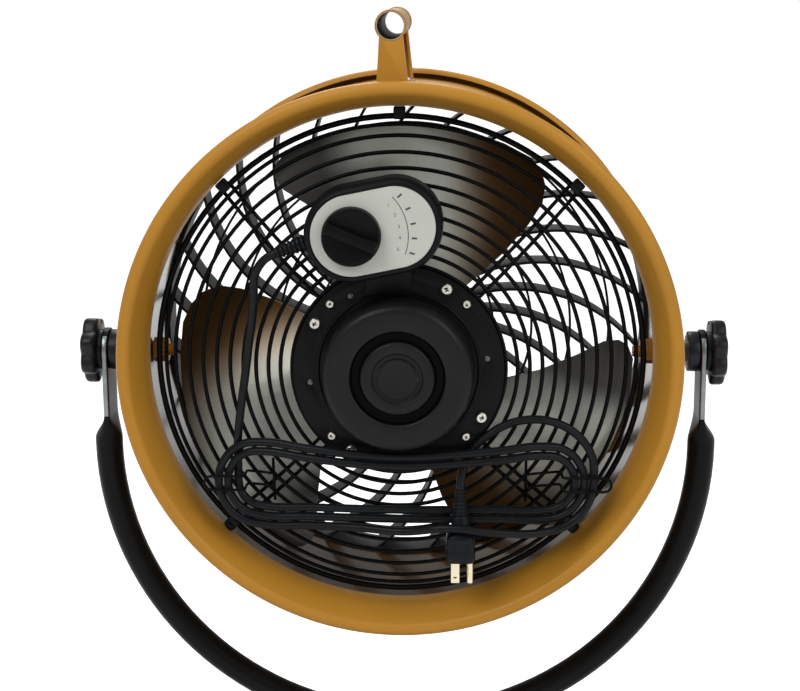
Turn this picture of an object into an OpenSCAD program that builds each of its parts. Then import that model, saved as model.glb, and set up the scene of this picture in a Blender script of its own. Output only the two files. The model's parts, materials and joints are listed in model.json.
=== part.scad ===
// Industrial pedestal fan: a short steel drum with a speed control and a wound mains lead on its
// air-inlet side, tilting in a tubular yoke that swivels on a telescoping pole.
// Millimetres, +Z up, the origin on the floor under the pole, the air leaving towards -Y.
// The head is drawn in its own frame: x to the right as seen from behind, y up and z to the rear,
// with its origin on the drum's axis in the plane of the rear rim.

/* [Drum] */
// Outside diameter of the drum's wall
wall_d = 418; // [412:1:424]
// How far the rolled rims stand out from the wall
rim_overhang = 9; // [7:0.5:11]
// Depth from the rear rim to the front rim
drum_depth = 200; // [190:1:240]
// Thickness of the drum's sheet steel
sheet_t = 1.6; // [1.2:0.1:2]
// How far inside the wall the inlet's throat lies
inlet_step = 9.9; // [8:0.1:12]
// Depth of the curved inlet behind the rear rim
inlet_depth = 38; // [34:1:44]

/* [Handle] */
// Outside diameter of the carrying tube
grip_d = 22.4; // [18:0.2:26]
// Length of the carrying tube
grip_length = 139; // [110:1:150]
// Height of the tube's axis above the drum's wall
grip_rise = 49; // [42:1:54]
// Width of a leg where it meets the drum
leg_base_w = 24.4; // [20:0.2:30]
// Width of a leg under the tube
leg_top_w = 17.8; // [14:0.2:20]
// Thickness of the legs' sheet steel
leg_t = 2; // [1.6:0.1:3]
// Lean of the whole handle to the left
handle_lean = 1.3; // [0:0.1:3]

/* [Guards] */
// Diameter of the rear guard's wires
ring_wire = 3.2; // [2.6:0.1:3.4]
// Diameter of the rear guard's outermost wire
hoop_wire = 4.6; // [4:0.1:5]
// Room between the throat and the middle of the rear guard's outermost wire
hoop_inset = 7.5; // [6.5:0.1:9]
// Step between the two innermost loose rings of the rear guard
ring_step = 8.8; // [8:0.1:9.4]
// How far the rear guard domes forward at its outermost ring
guard_dome = 36; // [33:1:38]
// Number of spiral vanes in the front guard
vane_count = 28; // [20:1:32]
// Thickness of a vane
vane_t = 2.2; // [1.8:0.1:3]
// Depth of a vane
vane_depth = 32; // [24:1:36]
// Radius of the front guard's hub ring
guard_hub_r = 42; // [38:1:50]

/* [Motor] */
// Diameter of the motor's two shells
motor_d = 114; // [110:1:118]
// How far the rear shell stands out behind the mounting plate
rear_shell_depth = 28; // [25:1:34]
// How far the front shell reaches in front of the plate
front_shell_depth = 48; // [44:1:50]
// Wall of the motor's shells
shell_t = 2.5; // [2:0.1:3]
// Thickness of the mounting plate
plate_t = 3; // [2.5:0.1:4]
// Radius on which the plate's screws stand
screw_ring_r = 73; // [72:0.2:73.4]
// Diameter of the motor's shaft
shaft_d = 12; // [10:0.5:14]

/* [Fan] */
// Diameter of the circle that the blade tips sweep
tip_d = 366; // [350:1:370]
// Slant of a blade against the plane of the fan
blade_pitch = 21; // [16:1:23]
// Thickness of a blade
blade_t = 1.6; // [1.2:0.1:2]
// Distance of the fan's plane in front of the rear rim
fan_depth = 66; // [64:1:72]

/* [Speed control] */
// Length of the control box
box_l = 103; // [98:1:110]
// Width of the control box
box_w = 71; // [68:1:74]
// Depth of the control box
box_depth = 30; // [26:1:36]
// Border of black housing round the pale face plate
face_margin = 5; // [4:0.5:7]
// Slant of the box, its right end up
box_slant = 11.5; // [0:0.5:20]
// Height of the box's centre above the drum's axis
box_rise = 112; // [110:1:116]
// Diameter of the speed dial
dial_d = 44; // [38:1:48]
// Height of the speed dial
dial_h = 15; // [12:1:20]

/* [Yoke] */
// Room between the drum's wall and a flat end of the yoke
yoke_room = 33.2; // [31:0.2:40]
// Diameter of the yoke's tube
yoke_tube_d = 22.5; // [20:0.5:26]
// Wall of the yoke's tube
yoke_wall = 1.8; // [1.5:0.1:2.5]
// Thickness of a flat end
yoke_end_t = 5; // [4:0.2:7]
// Width of a flat end
yoke_end_w = 36; // [32:1:40]
// Length of the straight arm below the pivots
arm_drop = 80.5; // [79:0.5:100]
// Height of the drum's axis above the pivots
pivot_drop = 8; // [0:1:20]
// Diameter of the pivot bolts
pivot_d = 10; // [8:0.5:12]
// Diameter across the star knobs
star_d = 55; // [44:1:60]
// Thickness of a star knob, its collar included
star_t = 15.5; // [13:0.1:24]

/* [Stand] */
// Height of the tilt pivots above the floor, pole pushed in
pivot_height = 987; // [967:5:1100]
// Diameter of the round base
base_d = 424; // [400:2:480]
// Height of the base at its middle
base_h = 46; // [44:1:60]
// Diameter of the outer pole
outer_pole_d = 38; // [36:0.5:42]
// Diameter of the inner pole
inner_pole_d = 32; // [28:0.5:33]
// Wall of both poles
pole_wall = 1.6; // [1.4:0.1:2]
// Height of the clamp collar's top above the floor
collar_top = 600; // [540:5:610]
// How far the pole pulls out
pole_travel = 250; // [150:10:300]

/* [Mains lead] */
// Diameter of the mains lead
cord_d = 6.5; // [6:0.1:6.8]
// Length of the plug's moulded body
plug_l = 36; // [34:1:44]

/* [Hidden] */
$fn = 96;

// Radial clearance of a shaft or tube that turns or slides in its hole
fit = 0.05;
// Gap left between pieces that lie close without a fit
gap = 0.3;
// How far a cut runs past the face that it cuts
cut = 1;

amber = [0.76, 0.50, 0.13];
black = [0.07, 0.07, 0.075];
charcoal = [0.16, 0.16, 0.17];
zinc = [0.72, 0.72, 0.70];
steel = [0.55, 0.55, 0.53];
brass = [0.80, 0.68, 0.38];

wall_r = wall_d / 2;
wall_in = wall_r - sheet_t;
throat_r = wall_in - inlet_step;
hoop_r = throat_r - hoop_inset;
rim_r = wall_r + rim_overhang;
lip_in = 3;
lip_r = (rim_overhang + lip_in) / 2;
bead_in = 1;
bead_r = (rim_overhang + bead_in) / 2;

// The rear guard's dome is an arc: flat where it meets the motor plate, falling away outwards.
dome_start = screw_ring_r;
dome_run = hoop_r - dome_start;
dome_r = (dome_run * dome_run + guard_dome * guard_dome) / (2 * guard_dome);
guard_z = -ring_wire / 2 - fit;
function dome_z(r) = guard_z - dome_r + sqrt(dome_r * dome_r - pow(max(r - dome_start, 0), 2));
hoop_pair_gap = 6;
second_hoop_r = hoop_r - hoop_pair_gap;
// The rings stand a little further apart towards the rim.
ring_spread = 0.185;
plate_bolt_r = 2.5;
first_ring_r = screw_ring_r + plate_bolt_r + ring_wire / 2 + gap;
second_ring_r = first_ring_r + ring_wire + 1.1;
function ring_at(k) = second_ring_r + ring_step * k + ring_spread * k * k;
loose_rings = [for (k = [0:40]) if (ring_at(k) < second_hoop_r - ring_step * 0.7) ring_at(k)];
hoop_slope = asin(dome_run / dome_r);
hoop_z = dome_z(hoop_r) + (hoop_wire - ring_wire) / 2 / cos(hoop_slope);
rib_wire = 3;
rib_half_gap = 4;
rib_angles = [45, 135, 225, 315];
clip_angles = [45, 90, 135, 225, 315];

leg_depth = 14;
foot_t = 2;
foot_reach = 30;
grip_r = grip_d / 2;
grip_wall = 1.2;
grip_y = wall_r + grip_rise;
grip_rear_z = -20;
grip_front_z = grip_rear_z - grip_length;
handle_screw_d = 4;
handle_screw_x = 7;

front_face_z = -drum_depth + 3;
vane_z = front_face_z + vane_depth;
vane_arc_r = 134;
guard_rim_t = 2.5;

motor_r = motor_d / 2;
shaft_r = shaft_d / 2;
bearing_r = 16;
bearing_t = 9;
rotor_r = 30;
hub_r = 20;
hub_h = 26;
fan_z = -fan_depth;
blade_camber_r = 300;

pivot_r = pivot_d / 2;
pivot_z = -drum_depth / 2;
yoke_in = wall_r + yoke_room;
yoke_out = yoke_in + yoke_end_t;
yoke_tube_r = yoke_tube_d / 2;
yoke_r = yoke_in + yoke_end_t / 2 + 2.3;
flat_below = 53;
half_flat_below = 64;
half_flat_t = 12;
half_flat_w = 33;
bush_r = 16.5;
bush_l = 9.1;
sleeve_r = 9;
star_collar = 3.5;

// Places along the stand, from the floor up.
foot_h = 6;
foot_w = 16;
shell_edge = 22;
base_r = base_d / 2;
shell_sheet = 2.5;
flange_r = 52;
flange_t = 5;
pole_socket_h = 64;
outer_pole_r = outer_pole_d / 2;
outer_pole_in = outer_pole_r - pole_wall;
inner_pole_r = inner_pole_d / 2;
pole_foot = base_h;
collar_h = 66;
collar_r = outer_pole_r + 5;
outer_pole_top = collar_top - 40;
yoke_bottom = pivot_height - arm_drop - yoke_r;
socket_bottom = collar_top + 2;
socket_top = yoke_bottom - yoke_tube_r - 4;
socket_r = inner_pole_r + 5;
inner_pole_top = socket_top - 5;
inner_pole_bottom = collar_top - pole_travel - 150;
clamp_stud_r = 4;
clamp_boss_l = 12;
clamp_z = collar_top - 24;
swivel_z = socket_bottom + 18;

// The control box's own frame: origin at the middle of its back, its long side along x.
box_x = -17;
box_z = plate_t + 3;
box_focus = (box_l - box_w) / 2;
box_front = box_z + box_depth;
face_t = 1.4;
box_wall = 2.5;
dial_shaft_r = 3;
relief_l = 24;
relief_turn = 10;
relief_z = 14;

// Puts what is drawn about the tilt pivots, x to the right as seen from behind, where it stands.
module at_pivots() {
    translate([0, 0, pivot_height]) rotate([90, 0, 180]) children();
}
module at_head() {
    at_pivots() translate([0, pivot_drop, -pivot_z]) children();
}
module at_box() {
    at_head() translate([box_x, box_rise, box_z]) rotate([0, 0, box_slant]) children();
}
module along_x(x) {
    translate([x, 0, 0]) rotate([0, 90, 0]) children();
}
module ring2d(r_out, r_in) {
    difference() {
        circle(r = r_out);
        circle(r = r_in);
    }
}
module tube(r_out, r_in, h) {
    difference() {
        cylinder(r = r_out, h = h);
        translate([0, 0, -cut]) cylinder(r = r_in, h = h + 2 * cut);
    }
}
module stadium(l, w) {
    square([l - w, w], center = true);
    for (side = [-1, 1]) translate([side * (l - w) / 2, 0]) circle(d = w);
}
module hexagon(across, h) {
    cylinder(r = across / sqrt(3), h = h, $fn = 6);
}
// A star grip: a collar, a round core with lobes, bored for its stud.
module star_grip(d, t, lobes, bore_r) {
    lobe_r = d * 0.105;
    difference() {
        union() {
            cylinder(r = d * 0.3, h = star_collar + 1);
            translate([0, 0, star_collar]) linear_extrude(height = t - star_collar) {
                circle(r = d / 2 - lobe_r * 0.75);
                for (k = [0:lobes - 1]) rotate(k * 360 / lobes) translate([d / 2 - lobe_r, 0])
                    circle(r = lobe_r);
            }
        }
        translate([0, 0, -cut]) cylinder(r = bore_r, h = t - 4 + cut);
    }
}

// The stand

module foot_ring() {
    color(charcoal) rotate_extrude() translate([base_r - foot_w, 0]) square([foot_w, foot_h]);
}

function shell_arc_r() = (pow(base_r, 2) - pow(flange_r, 2)) / (2 * (base_h - shell_edge));
module base_outline(inset) {
    arc_r = shell_arc_r();
    arc_z = base_h - sqrt(arc_r * arc_r - flange_r * flange_r);
    intersection() {
        translate([0, arc_z]) circle(r = arc_r - inset, $fn = 720);
        translate([0, foot_h - inset * 2]) square([base_r - 1 - inset, base_h - foot_h + inset]);
    }
}
module base_shell() {
    color(black) difference() {
        rotate_extrude() difference() {
            base_outline(0);
            base_outline(shell_sheet);
        }
        for (k = [0:3]) rotate(45 + k * 90) translate([bolt_ring_r, 0, base_h - 2 * shell_sheet - cut])
            cylinder(r = socket_bolt_r + gap, h = 3 * shell_sheet + cut);
    }
}
bolt_ring_r = 38;
socket_bolt_r = 3;

module base_weight() {
    boss_top = base_h - shell_sheet - gap;
    disc_top = shell_edge + 3;
    disc_r = base_r * 0.83;
    color(charcoal) difference() {
        union() {
            translate([0, 0, foot_h + 1]) cylinder(r = disc_r, h = disc_top - foot_h - 1 - shell_sheet);
            translate([0, 0, foot_h + 1]) cylinder(r = flange_r - 4, h = boss_top - foot_h - 1);
        }
        translate([0, 0, foot_h]) cylinder(r = 14, h = base_h);
        for (k = [0:3]) rotate(45 + k * 90) translate([bolt_ring_r, 0, boss_top - 14])
            cylinder(r = socket_bolt_r + fit, h = 14 + cut);
        for (k = [0:3]) rotate(k * 90) translate([disc_r, 0, foot_h]) cylinder(r = 12, h = base_h);
    }
}
module pole_socket() {
    color(black) difference() {
        union() {
            translate([0, 0, base_h]) cylinder(r = flange_r - 2, h = flange_t);
            translate([0, 0, base_h]) cylinder(r = outer_pole_r + 4, h = pole_socket_h);
        }
        translate([0, 0, base_h - cut]) cylinder(r = outer_pole_r + fit, h = pole_socket_h + 2 * cut);
        for (k = [0:3]) rotate(45 + k * 90) translate([bolt_ring_r, 0, base_h - cut])
            cylinder(r = socket_bolt_r + gap, h = flange_t + 2 * cut);
    }
}
module socket_bolts() {
    color(zinc) for (k = [0:3]) rotate(45 + k * 90) translate([bolt_ring_r, 0, 0]) {
        translate([0, 0, base_h + flange_t]) hexagon(10, 4);
        translate([0, 0, base_h - 14]) cylinder(r = socket_bolt_r, h = 14 + flange_t + 1);
    }
}
module outer_pole() {
    color(black) difference() {
        translate([0, 0, pole_foot]) tube(outer_pole_r, outer_pole_in, outer_pole_top - pole_foot);
    }
}
// A boss on the rear of a collar, for the stud of a clamp knob.
module clamp_boss(z, r_from) {
    translate([0, 0, z]) rotate([-90, 0, 0]) translate([0, 0, r_from - 4])
        cylinder(r = 9, h = clamp_boss_l + 4);
}
module clamp_hole(z, r_to, r_hole) {
    translate([0, 0, z]) rotate([-90, 0, 0]) cylinder(r = r_hole, h = r_to + cut);
}
module clamp_collar() {
    lip = 3;
    color(black) difference() {
        union() {
            translate([0, 0, collar_top - collar_h]) cylinder(r = collar_r, h = collar_h);
            clamp_boss(clamp_z, collar_r);
        }
        translate([0, 0, collar_top - collar_h - cut])
            cylinder(r = outer_pole_r + fit, h = collar_h - lip + cut);
        translate([0, 0, collar_top - lip - cut]) cylinder(r = inner_pole_r + gap * 2, h = lip + 2 * cut);
        clamp_hole(clamp_z, collar_r + clamp_boss_l, clamp_stud_r + fit);
    }
}
module guide_bush() {
    bush_top = collar_top - 3 - fit;
    color(charcoal) difference() {
        translate([0, 0, outer_pole_top + fit])
            tube(outer_pole_r, inner_pole_r + fit, bush_top - outer_pole_top - fit);
        clamp_hole(clamp_z, collar_r, clamp_stud_r + gap);
    }
}
// A clamp knob whose stud reaches through the boss to the inner pole.
module clamp_knob(z, r_face, d) {
    translate([0, 0, z]) rotate([-90, 0, 0]) {
        translate([0, 0, r_face + gap]) linear_extrude(height = 18) {
            circle(r = d / 2 - 3);
            for (k = [0:4]) rotate(90 + k * 72) translate([d / 2 - 5, 0]) circle(r = 5);
        }
        translate([0, 0, inner_pole_r + gap]) cylinder(r = clamp_stud_r, h = r_face + 2 - inner_pole_r);
    }
}
module height_knob() {
    color(black) clamp_knob(clamp_z, collar_r + clamp_boss_l, 44);
}
module inner_pole() {
    color(black) translate([0, 0, inner_pole_bottom])
        tube(inner_pole_r, inner_pole_r - pole_wall, inner_pole_top - inner_pole_bottom);
}
module pole_slider() {
    color(charcoal) union() {
        translate([0, 0, inner_pole_bottom - 4]) cylinder(r = outer_pole_in - fit, h = 4);
        translate([0, 0, inner_pole_bottom - 4]) tube(outer_pole_in - fit, inner_pole_r + fit, 34);
    }
}
module yoke_torus(r) {
    rotate([90, 0, 0]) rotate_extrude() translate([yoke_r, 0]) circle(r = r);
}
module yoke_socket() {
    saddle_l = 64;
    saddle_w = yoke_tube_d + 8;
    color(black) difference() {
        union() {
            translate([0, 0, socket_bottom]) cylinder(r = socket_r, h = socket_top - socket_bottom);
            translate([-saddle_l / 2, -saddle_w / 2, socket_top - 4])
                cube([saddle_l, saddle_w, yoke_bottom - socket_top + 2]);
            clamp_boss(swivel_z, socket_r);
        }
        translate([0, 0, socket_bottom - cut])
            cylinder(r = inner_pole_r + fit, h = inner_pole_top - socket_bottom + fit + cut);
        translate([0, 0, yoke_bottom + yoke_r]) yoke_torus(yoke_tube_r + fit);
        clamp_hole(swivel_z, socket_r + clamp_boss_l, clamp_stud_r + fit);
        for (side = [-1, 1]) translate([side * yoke_screw_x, 0, socket_top - 3])
            cylinder(r = yoke_screw_r + fit, h = yoke_tube_d);
    }
}
yoke_screw_r = 3;
yoke_screw_x = 20;
module yoke_screws() {
    color(zinc) for (side = [-1, 1]) translate([side * yoke_screw_x, 0, 0]) {
        rise = yoke_r - sqrt(yoke_r * yoke_r - yoke_screw_x * yoke_screw_x);
        translate([0, 0, socket_top - 2.5])
            cylinder(r = yoke_screw_r, h = yoke_bottom + yoke_tube_r + rise - socket_top + 4);
        translate([0, 0, yoke_bottom + yoke_tube_r + rise + 1]) cylinder(r = 6, h = 4);
    }
}
module yoke_tube() {
    color(black) difference() {
        at_pivots() {
            translate([0, -arm_drop, 0]) difference() {
                rotate_extrude_tube(yoke_tube_r);
                rotate_extrude_tube(yoke_tube_r - yoke_wall);
            }
            for (side = [-1, 1]) {
                translate([side * yoke_r, -arm_drop - fit, 0]) rotate([-90, 0, 0])
                    tube(yoke_tube_r, yoke_tube_r - yoke_wall, 5 + fit);
                hull() {
                    translate([side * yoke_r, -arm_drop + 5, 0]) rotate([-90, 0, 0])
                        cylinder(r = yoke_tube_r, h = 0.5, $fn = 48);
                    half_flat(side);
                }
                hull() {
                    half_flat(side);
                    translate([side * (yoke_in + yoke_end_t / 2), -flat_below, 0])
                        cube([yoke_end_t, 0.5, yoke_end_w], center = true);
                }
                difference() {
                    union() {
                        translate([side * (yoke_in + yoke_end_t / 2), -flat_below / 2, 0])
                            cube([yoke_end_t, flat_below, yoke_end_w], center = true);
                        translate([side * (yoke_in + yoke_end_t / 2) - yoke_end_t / 2, 0, 0])
                            rotate([0, 90, 0]) cylinder(r = yoke_end_w / 2, h = yoke_end_t);
                    }
                    translate([side * (yoke_in + yoke_end_t / 2) - yoke_end_t, 0, 0])
                        rotate([0, 90, 0]) cylinder(r = pivot_r + fit, h = 2 * yoke_end_t);
                }
            }
        }
        for (side = [-1, 1]) translate([side * yoke_screw_x, 0, yoke_bottom - yoke_tube_d])
            cylinder(r = yoke_screw_r + fit, h = 3 * yoke_tube_d);
    }
}
// Where the tube is half pressed flat.
module half_flat(side) {
    translate([side * (yoke_r + yoke_in + yoke_end_t / 2) / 2, -half_flat_below, 0]) rotate([-90, 0, 0])
        linear_extrude(height = 0.5) rotate(90) stadium(half_flat_w, half_flat_t, $fn = 32);
}
module rotate_extrude_tube(r) {
    rotate([0, 0, 180]) rotate_extrude(angle = 180) translate([yoke_r, 0]) circle(r = r);
}
module swivel_knob() {
    color(black) clamp_knob(swivel_z, socket_r + clamp_boss_l, 38);
}

// The drum and its handle

module rolled_edge(r, centre_x, centre_z, slot_side) {
    translate([centre_x, centre_z]) difference() {
        ring2d(r, r - sheet_t);
        translate([-r / 4, slot_side > 0 ? 0 : -2 * r]) square([r, 2 * r]);
    }
}
// Section of the drum: the wall, the rear lip with the inlet that curves in from it, the front bead.
module drum_section() {
    bell_x = wall_r - lip_in + gap - throat_r;
    bell_z = inlet_depth - lip_r;
    bell_r = (bell_x * bell_x + bell_z * bell_z) / (2 * bell_x);
    wall_rear = -lip_r * 1.6;
    wall_front = -drum_depth + bead_r * 1.2;
    translate([wall_in, wall_front]) square([sheet_t, wall_rear - wall_front]);
    rolled_edge(lip_r, wall_r + lip_r - lip_in, -lip_r, -1);
    rolled_edge(bead_r, wall_r + bead_r - bead_in, -drum_depth + bead_r, 1);
    translate([wall_in, -drum_depth + bead_r * 0.8]) square([sheet_t, bead_r]);
    intersection() {
        translate([throat_r + bell_r, -inlet_depth]) ring2d(bell_r, bell_r - sheet_t);
        translate([throat_r - cut, -inlet_depth]) square([wall_r - throat_r, bell_z + 1]);
    }
}
module drum_shell() {
    color(amber) at_head() difference() {
        rotate_extrude($fn = 180) drum_section();
        translate([0, -pivot_drop, pivot_z]) along_x(-rim_r) cylinder(r = pivot_r + fit * 2, h = 2 * rim_r);
        handle_screw_places() cylinder(r = handle_screw_d / 2 + fit, h = 20, center = true);
    }
}
// Children stand at each of the handle's four screws, with z pointing out of the drum.
module handle_screw_places() {
    rotate([0, 0, handle_lean])
        for (z = [grip_rear_z - leg_depth - 10, grip_front_z + leg_depth + 10], side = [-1, 1])
            rotate([0, 0, asin(side * handle_screw_x / wall_r)]) translate([0, wall_r, z]) rotate([-90, 0, 0])
                children();
}
module leg_prism(w_base, w_top, depth) {
    linear_extrude(height = depth)
        polygon([[-w_base / 2, wall_r + foot_t / 2], [w_base / 2, wall_r + foot_t / 2],
            [w_top / 2, grip_y], [-w_top / 2, grip_y]]);
}
// One leg, its web at z = 0 and its channel open towards -z.
module handle_leg() {
    foot_half = asin((leg_base_w / 2 + 1) / wall_r);
    difference() {
        union() {
            difference() {
                translate([0, 0, -leg_depth]) leg_prism(leg_base_w, leg_top_w, leg_depth);
                translate([0, 0, -leg_depth - leg_t])
                    leg_prism(leg_base_w - 2 * leg_t, leg_top_w - 2 * leg_t, leg_depth);
            }
            translate([0, grip_y, -leg_depth]) cylinder(r = grip_r + 1.6, h = leg_depth);
            translate([0, 0, -foot_reach]) rotate([0, 0, 90 - foot_half])
                rotate_extrude(angle = 2 * foot_half, $fn = 360) translate([wall_r + fit, 0])
                    square([foot_t, foot_reach]);
        }
        translate([0, grip_y, -leg_depth - cut]) cylinder(r = grip_r + fit, h = leg_depth + 2 * cut);
    }
}
module handle_legs() {
    color(amber) at_head() difference() {
        rotate([0, 0, handle_lean]) {
            translate([0, 0, grip_rear_z]) handle_leg();
            translate([0, 0, grip_front_z]) mirror([0, 0, 1]) handle_leg();
        }
        handle_screw_places() cylinder(r = handle_screw_d / 2 + fit, h = 20, center = true);
    }
}
module handle_tube() {
    color([0.80, 0.70, 0.48]) at_head() rotate([0, 0, handle_lean]) translate([0, grip_y, grip_front_z])
        tube(grip_r, grip_r - grip_wall, grip_length);
}
module handle_screws() {
    color(zinc) at_head() handle_screw_places() {
        translate([0, 0, foot_t + 4 * fit]) cylinder(r = 4, h = 2.2);
        translate([0, 0, -6]) cylinder(r = handle_screw_d / 2, h = foot_t + 7);
    }
}

// The front guard

// Section of a vane: an arc that leaves the hub ring straight outwards and ends in the rim.
module vane_section() {
    start_r = guard_hub_r - 2;
    end_r = wall_in - gap - guard_rim_t / 2;
    centre_d = sqrt(start_r * start_r + vane_arc_r * vane_arc_r);
    start_a = acos((centre_d * centre_d + vane_arc_r * vane_arc_r - start_r * start_r)
        / (2 * centre_d * vane_arc_r));
    end_a = acos((centre_d * centre_d + vane_arc_r * vane_arc_r - end_r * end_r)
        / (2 * centre_d * vane_arc_r));
    sweep = end_a - start_a;
    far = 2 * vane_arc_r;
    translate([start_r, -vane_arc_r]) rotate(90 - sweep) intersection() {
        ring2d(vane_arc_r + vane_t / 2, vane_arc_r - vane_t / 2);
        polygon([[0, 0], [far, 0], [far * cos(sweep / 2), far * sin(sweep / 2)],
            [far * cos(sweep), far * sin(sweep)]]);
    }
}
module front_vanes() {
    color(charcoal) at_head() translate([0, 0, front_face_z]) linear_extrude(height = vane_depth) {
        for (k = [0:vane_count - 1]) rotate(k * 360 / vane_count) vane_section($fn = 180);
        ring2d(guard_hub_r, guard_hub_r - 4, $fn = 180);
        ring2d(wall_in - gap, wall_in - gap - guard_rim_t, $fn = 180);
    }
}
module front_rings() {
    ring_gap = (wall_in - guard_hub_r) / 5;
    color(charcoal) at_head() for (k = [1:4]) translate([0, 0, vane_z])
        tube(guard_hub_r + k * ring_gap + 1, guard_hub_r + k * ring_gap - 1, 4, $fn = 180);
}
module front_badge() {
    color(charcoal) at_head() translate([0, 0, front_face_z - 3]) cylinder(r = guard_hub_r + 3, h = 3);
}

// The rear guard

module wire_ring(r, z, wire) {
    translate([0, 0, z]) rotate_extrude($fn = 120) translate([r, 0]) circle(d = wire, $fn = 32);
}
module rear_rings() {
    color(black) at_head() {
        for (r = concat([first_ring_r], loose_rings, [second_hoop_r])) wire_ring(r, dome_z(r), ring_wire);
        wire_ring(hoop_r, hoop_z, hoop_wire);
    }
}
// A hairpin of wire in front of the rings: two legs along the dome, joined round a screw.
module hairpin() {
    leg_arc = asin((hoop_r + 3 - dome_start) / dome_r);
    leg_r = dome_r - ring_wire / 2 - rib_wire / 2 - fit;
    leg_z = guard_z - dome_r;
    for (side = [-1, 1]) translate([dome_start, side * rib_half_gap, leg_z]) rotate([90, 0, 0])
        rotate([0, 0, 90 - leg_arc]) rotate_extrude(angle = leg_arc, $fn = 240)
            translate([leg_r, 0]) circle(d = rib_wire, $fn = 32);
    translate([dome_start, 0, leg_z + leg_r]) rotate([0, 0, 90])
        rotate_extrude(angle = 180, $fn = 48) translate([rib_half_gap, 0]) circle(d = rib_wire, $fn = 32);
}
module rear_ribs() {
    color(black) at_head() for (a = rib_angles) rotate([0, 0, a]) hairpin();
}
// Clips on the outermost wire, each a block grooved for it, with room below for a hairpin's legs.
module guard_clips() {
    clip_half = 2.1;
    clip_h = hoop_wire + 4;
    color(black) at_head() for (a = clip_angles) rotate([0, 0, a - clip_half]) difference() {
        rotate_extrude(angle = 2 * clip_half, $fn = 360) translate([hoop_r - 3, hoop_z - clip_h / 2])
            square([throat_r - hoop_r + 3 - gap, clip_h]);
        wire_ring(hoop_r, hoop_z, hoop_wire + 2 * fit);
        rotate([0, 0, clip_half]) hairpin_room();
    }
}
module hairpin_room() {
    room_w = 2 * (rib_half_gap + rib_wire / 2 + gap);
    translate([hoop_r - 10, -room_w / 2, dome_z(hoop_r) + 2 * gap - 40]) cube([10 + 4.5, room_w, 40]);
}

hook_wire_r = 1.1;
hook_y = -90;
hook_half = 5.5;
hook_foot_x = 98;
hook_bar_y = 18;
hook_stand_left = 119.8;
hook_stand_right = 126;
hook_tip_left = 145.5;
hook_tip_right = 158;
// Height of a hook's wire that lies on the guard, at x and dy from the hook's own line.
function on_guard(x, dy) = dome_z(norm([x, hook_y + dy]))
    + (hook_wire_r + ring_wire / 2 + gap) / cos(asin((norm([x, hook_y + dy]) - dome_start) / dome_r));
// A cord hook: a wire that starts on the guard, stands up beside the cord and folds back over it,
// with a bar across its two feet.
module cord_hook(side) {
    stand_x = side > 0 ? hook_stand_right : hook_stand_left;
    tip_x = side > 0 ? hook_tip_right : hook_tip_left;
    bend = 2 * hook_wire_r;
    tip_z = winding_base_z + cord_r + gap + hook_wire_r + 2.2;
    stand_z = on_guard(stand_x, 0);
    bar = [for (s = [-1, 0, 1]) [side * hook_foot_x, hook_y + s * hook_bar_y,
        on_guard(hook_foot_x, s * hook_bar_y)]];
    legs = [for (k = [-1, 1]) [for (p = [
        [hook_foot_x - 1, bar[1][2] + (bar[1 + k][2] - bar[1][2]) * hook_half / hook_bar_y
            + hook_wire_r * 2.1 + fit + gap],
        [hook_foot_x + 9, on_guard(hook_foot_x + 9, k * hook_half)],
        [(hook_foot_x + 9 + stand_x) / 2, on_guard((hook_foot_x + 9 + stand_x) / 2, k * hook_half)],
        [stand_x - bend, on_guard(stand_x - bend, k * hook_half)],
        [stand_x, stand_z + bend], [stand_x, tip_z - bend], [stand_x + bend, tip_z], [tip_x, tip_z]])
            [side * p[0], hook_y + k * hook_half, p[1]]]];
    turn = [for (a = [60, 30, 0, -30, -60])
        [side * (tip_x + hook_half * cos(a)), hook_y + hook_half * sin(a), tip_z]];
    back = [for (k = [len(legs[0]) - 1:-1:0]) legs[0][k]];
    swept_tube(concat(legs[1], turn, back), hook_wire_r, 8, [0, 1, 1]);
    swept_tube(bar, hook_wire_r, 8);
}
module cord_hooks() {
    color(black) at_head() for (side = [-1, 1]) cord_hook(side);
}

// The motor

plate_bolt_angles = [60, 150, 240, 330];
rib_screw_r = 2;
plate_margin = 7.5;
module motor_plate() {
    color(black) at_head() difference() {
        cylinder(r = screw_ring_r + plate_margin, h = plate_t);
        translate([0, 0, -cut]) cylinder(r = motor_r - shell_t - 4, h = plate_t + 2 * cut);
        for (a = plate_bolt_angles) rotate([0, 0, a]) translate([screw_ring_r, 0, -cut])
            cylinder(r = plate_bolt_r + fit, h = plate_t + 2 * cut);
        for (a = rib_angles) rotate([0, 0, a]) translate([screw_ring_r, 0, -cut])
            cylinder(r = rib_screw_r + fit, h = plate_t + 2 * cut);
        for (a = rivet_angles) rotate([0, 0, a]) translate([rivet_ring_r, 0, -cut])
            cylinder(r = rivet_r + fit, h = plate_t + 2 * cut);
    }
}
// Screws through the plate, each with a nut that grips the innermost ring from the front.
module plate_bolts() {
    color(zinc) at_head() for (a = plate_bolt_angles) rotate([0, 0, a]) translate([screw_ring_r, 0, 0]) {
        translate([0, 0, plate_t]) cylinder(r = 4.6, h = 3);
        translate([0, 0, -9]) cylinder(r = plate_bolt_r, h = 9 + plate_t + 1);
        translate([0, 0, guard_z - ring_wire / 2 - fit - 3]) cylinder(r = 5, h = 3);
    }
}
module rib_screws() {
    nut_z = guard_z - ring_wire / 2 - fit - rib_wire - fit;
    color(zinc) at_head() for (a = rib_angles) rotate([0, 0, a]) translate([screw_ring_r, 0, 0]) {
        translate([0, 0, plate_t]) cylinder(r = 3.4, h = 2.4);
        translate([0, 0, nut_z - 4]) cylinder(r = rib_screw_r, h = plate_t - nut_z + 5);
        translate([0, 0, nut_z - 2.5]) cylinder(r = 4.5, h = 2.5);
    }
}
rivet_angles = [8, 122, 188];
rivet_ring_r = 68;
rivet_r = 1.5;
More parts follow.
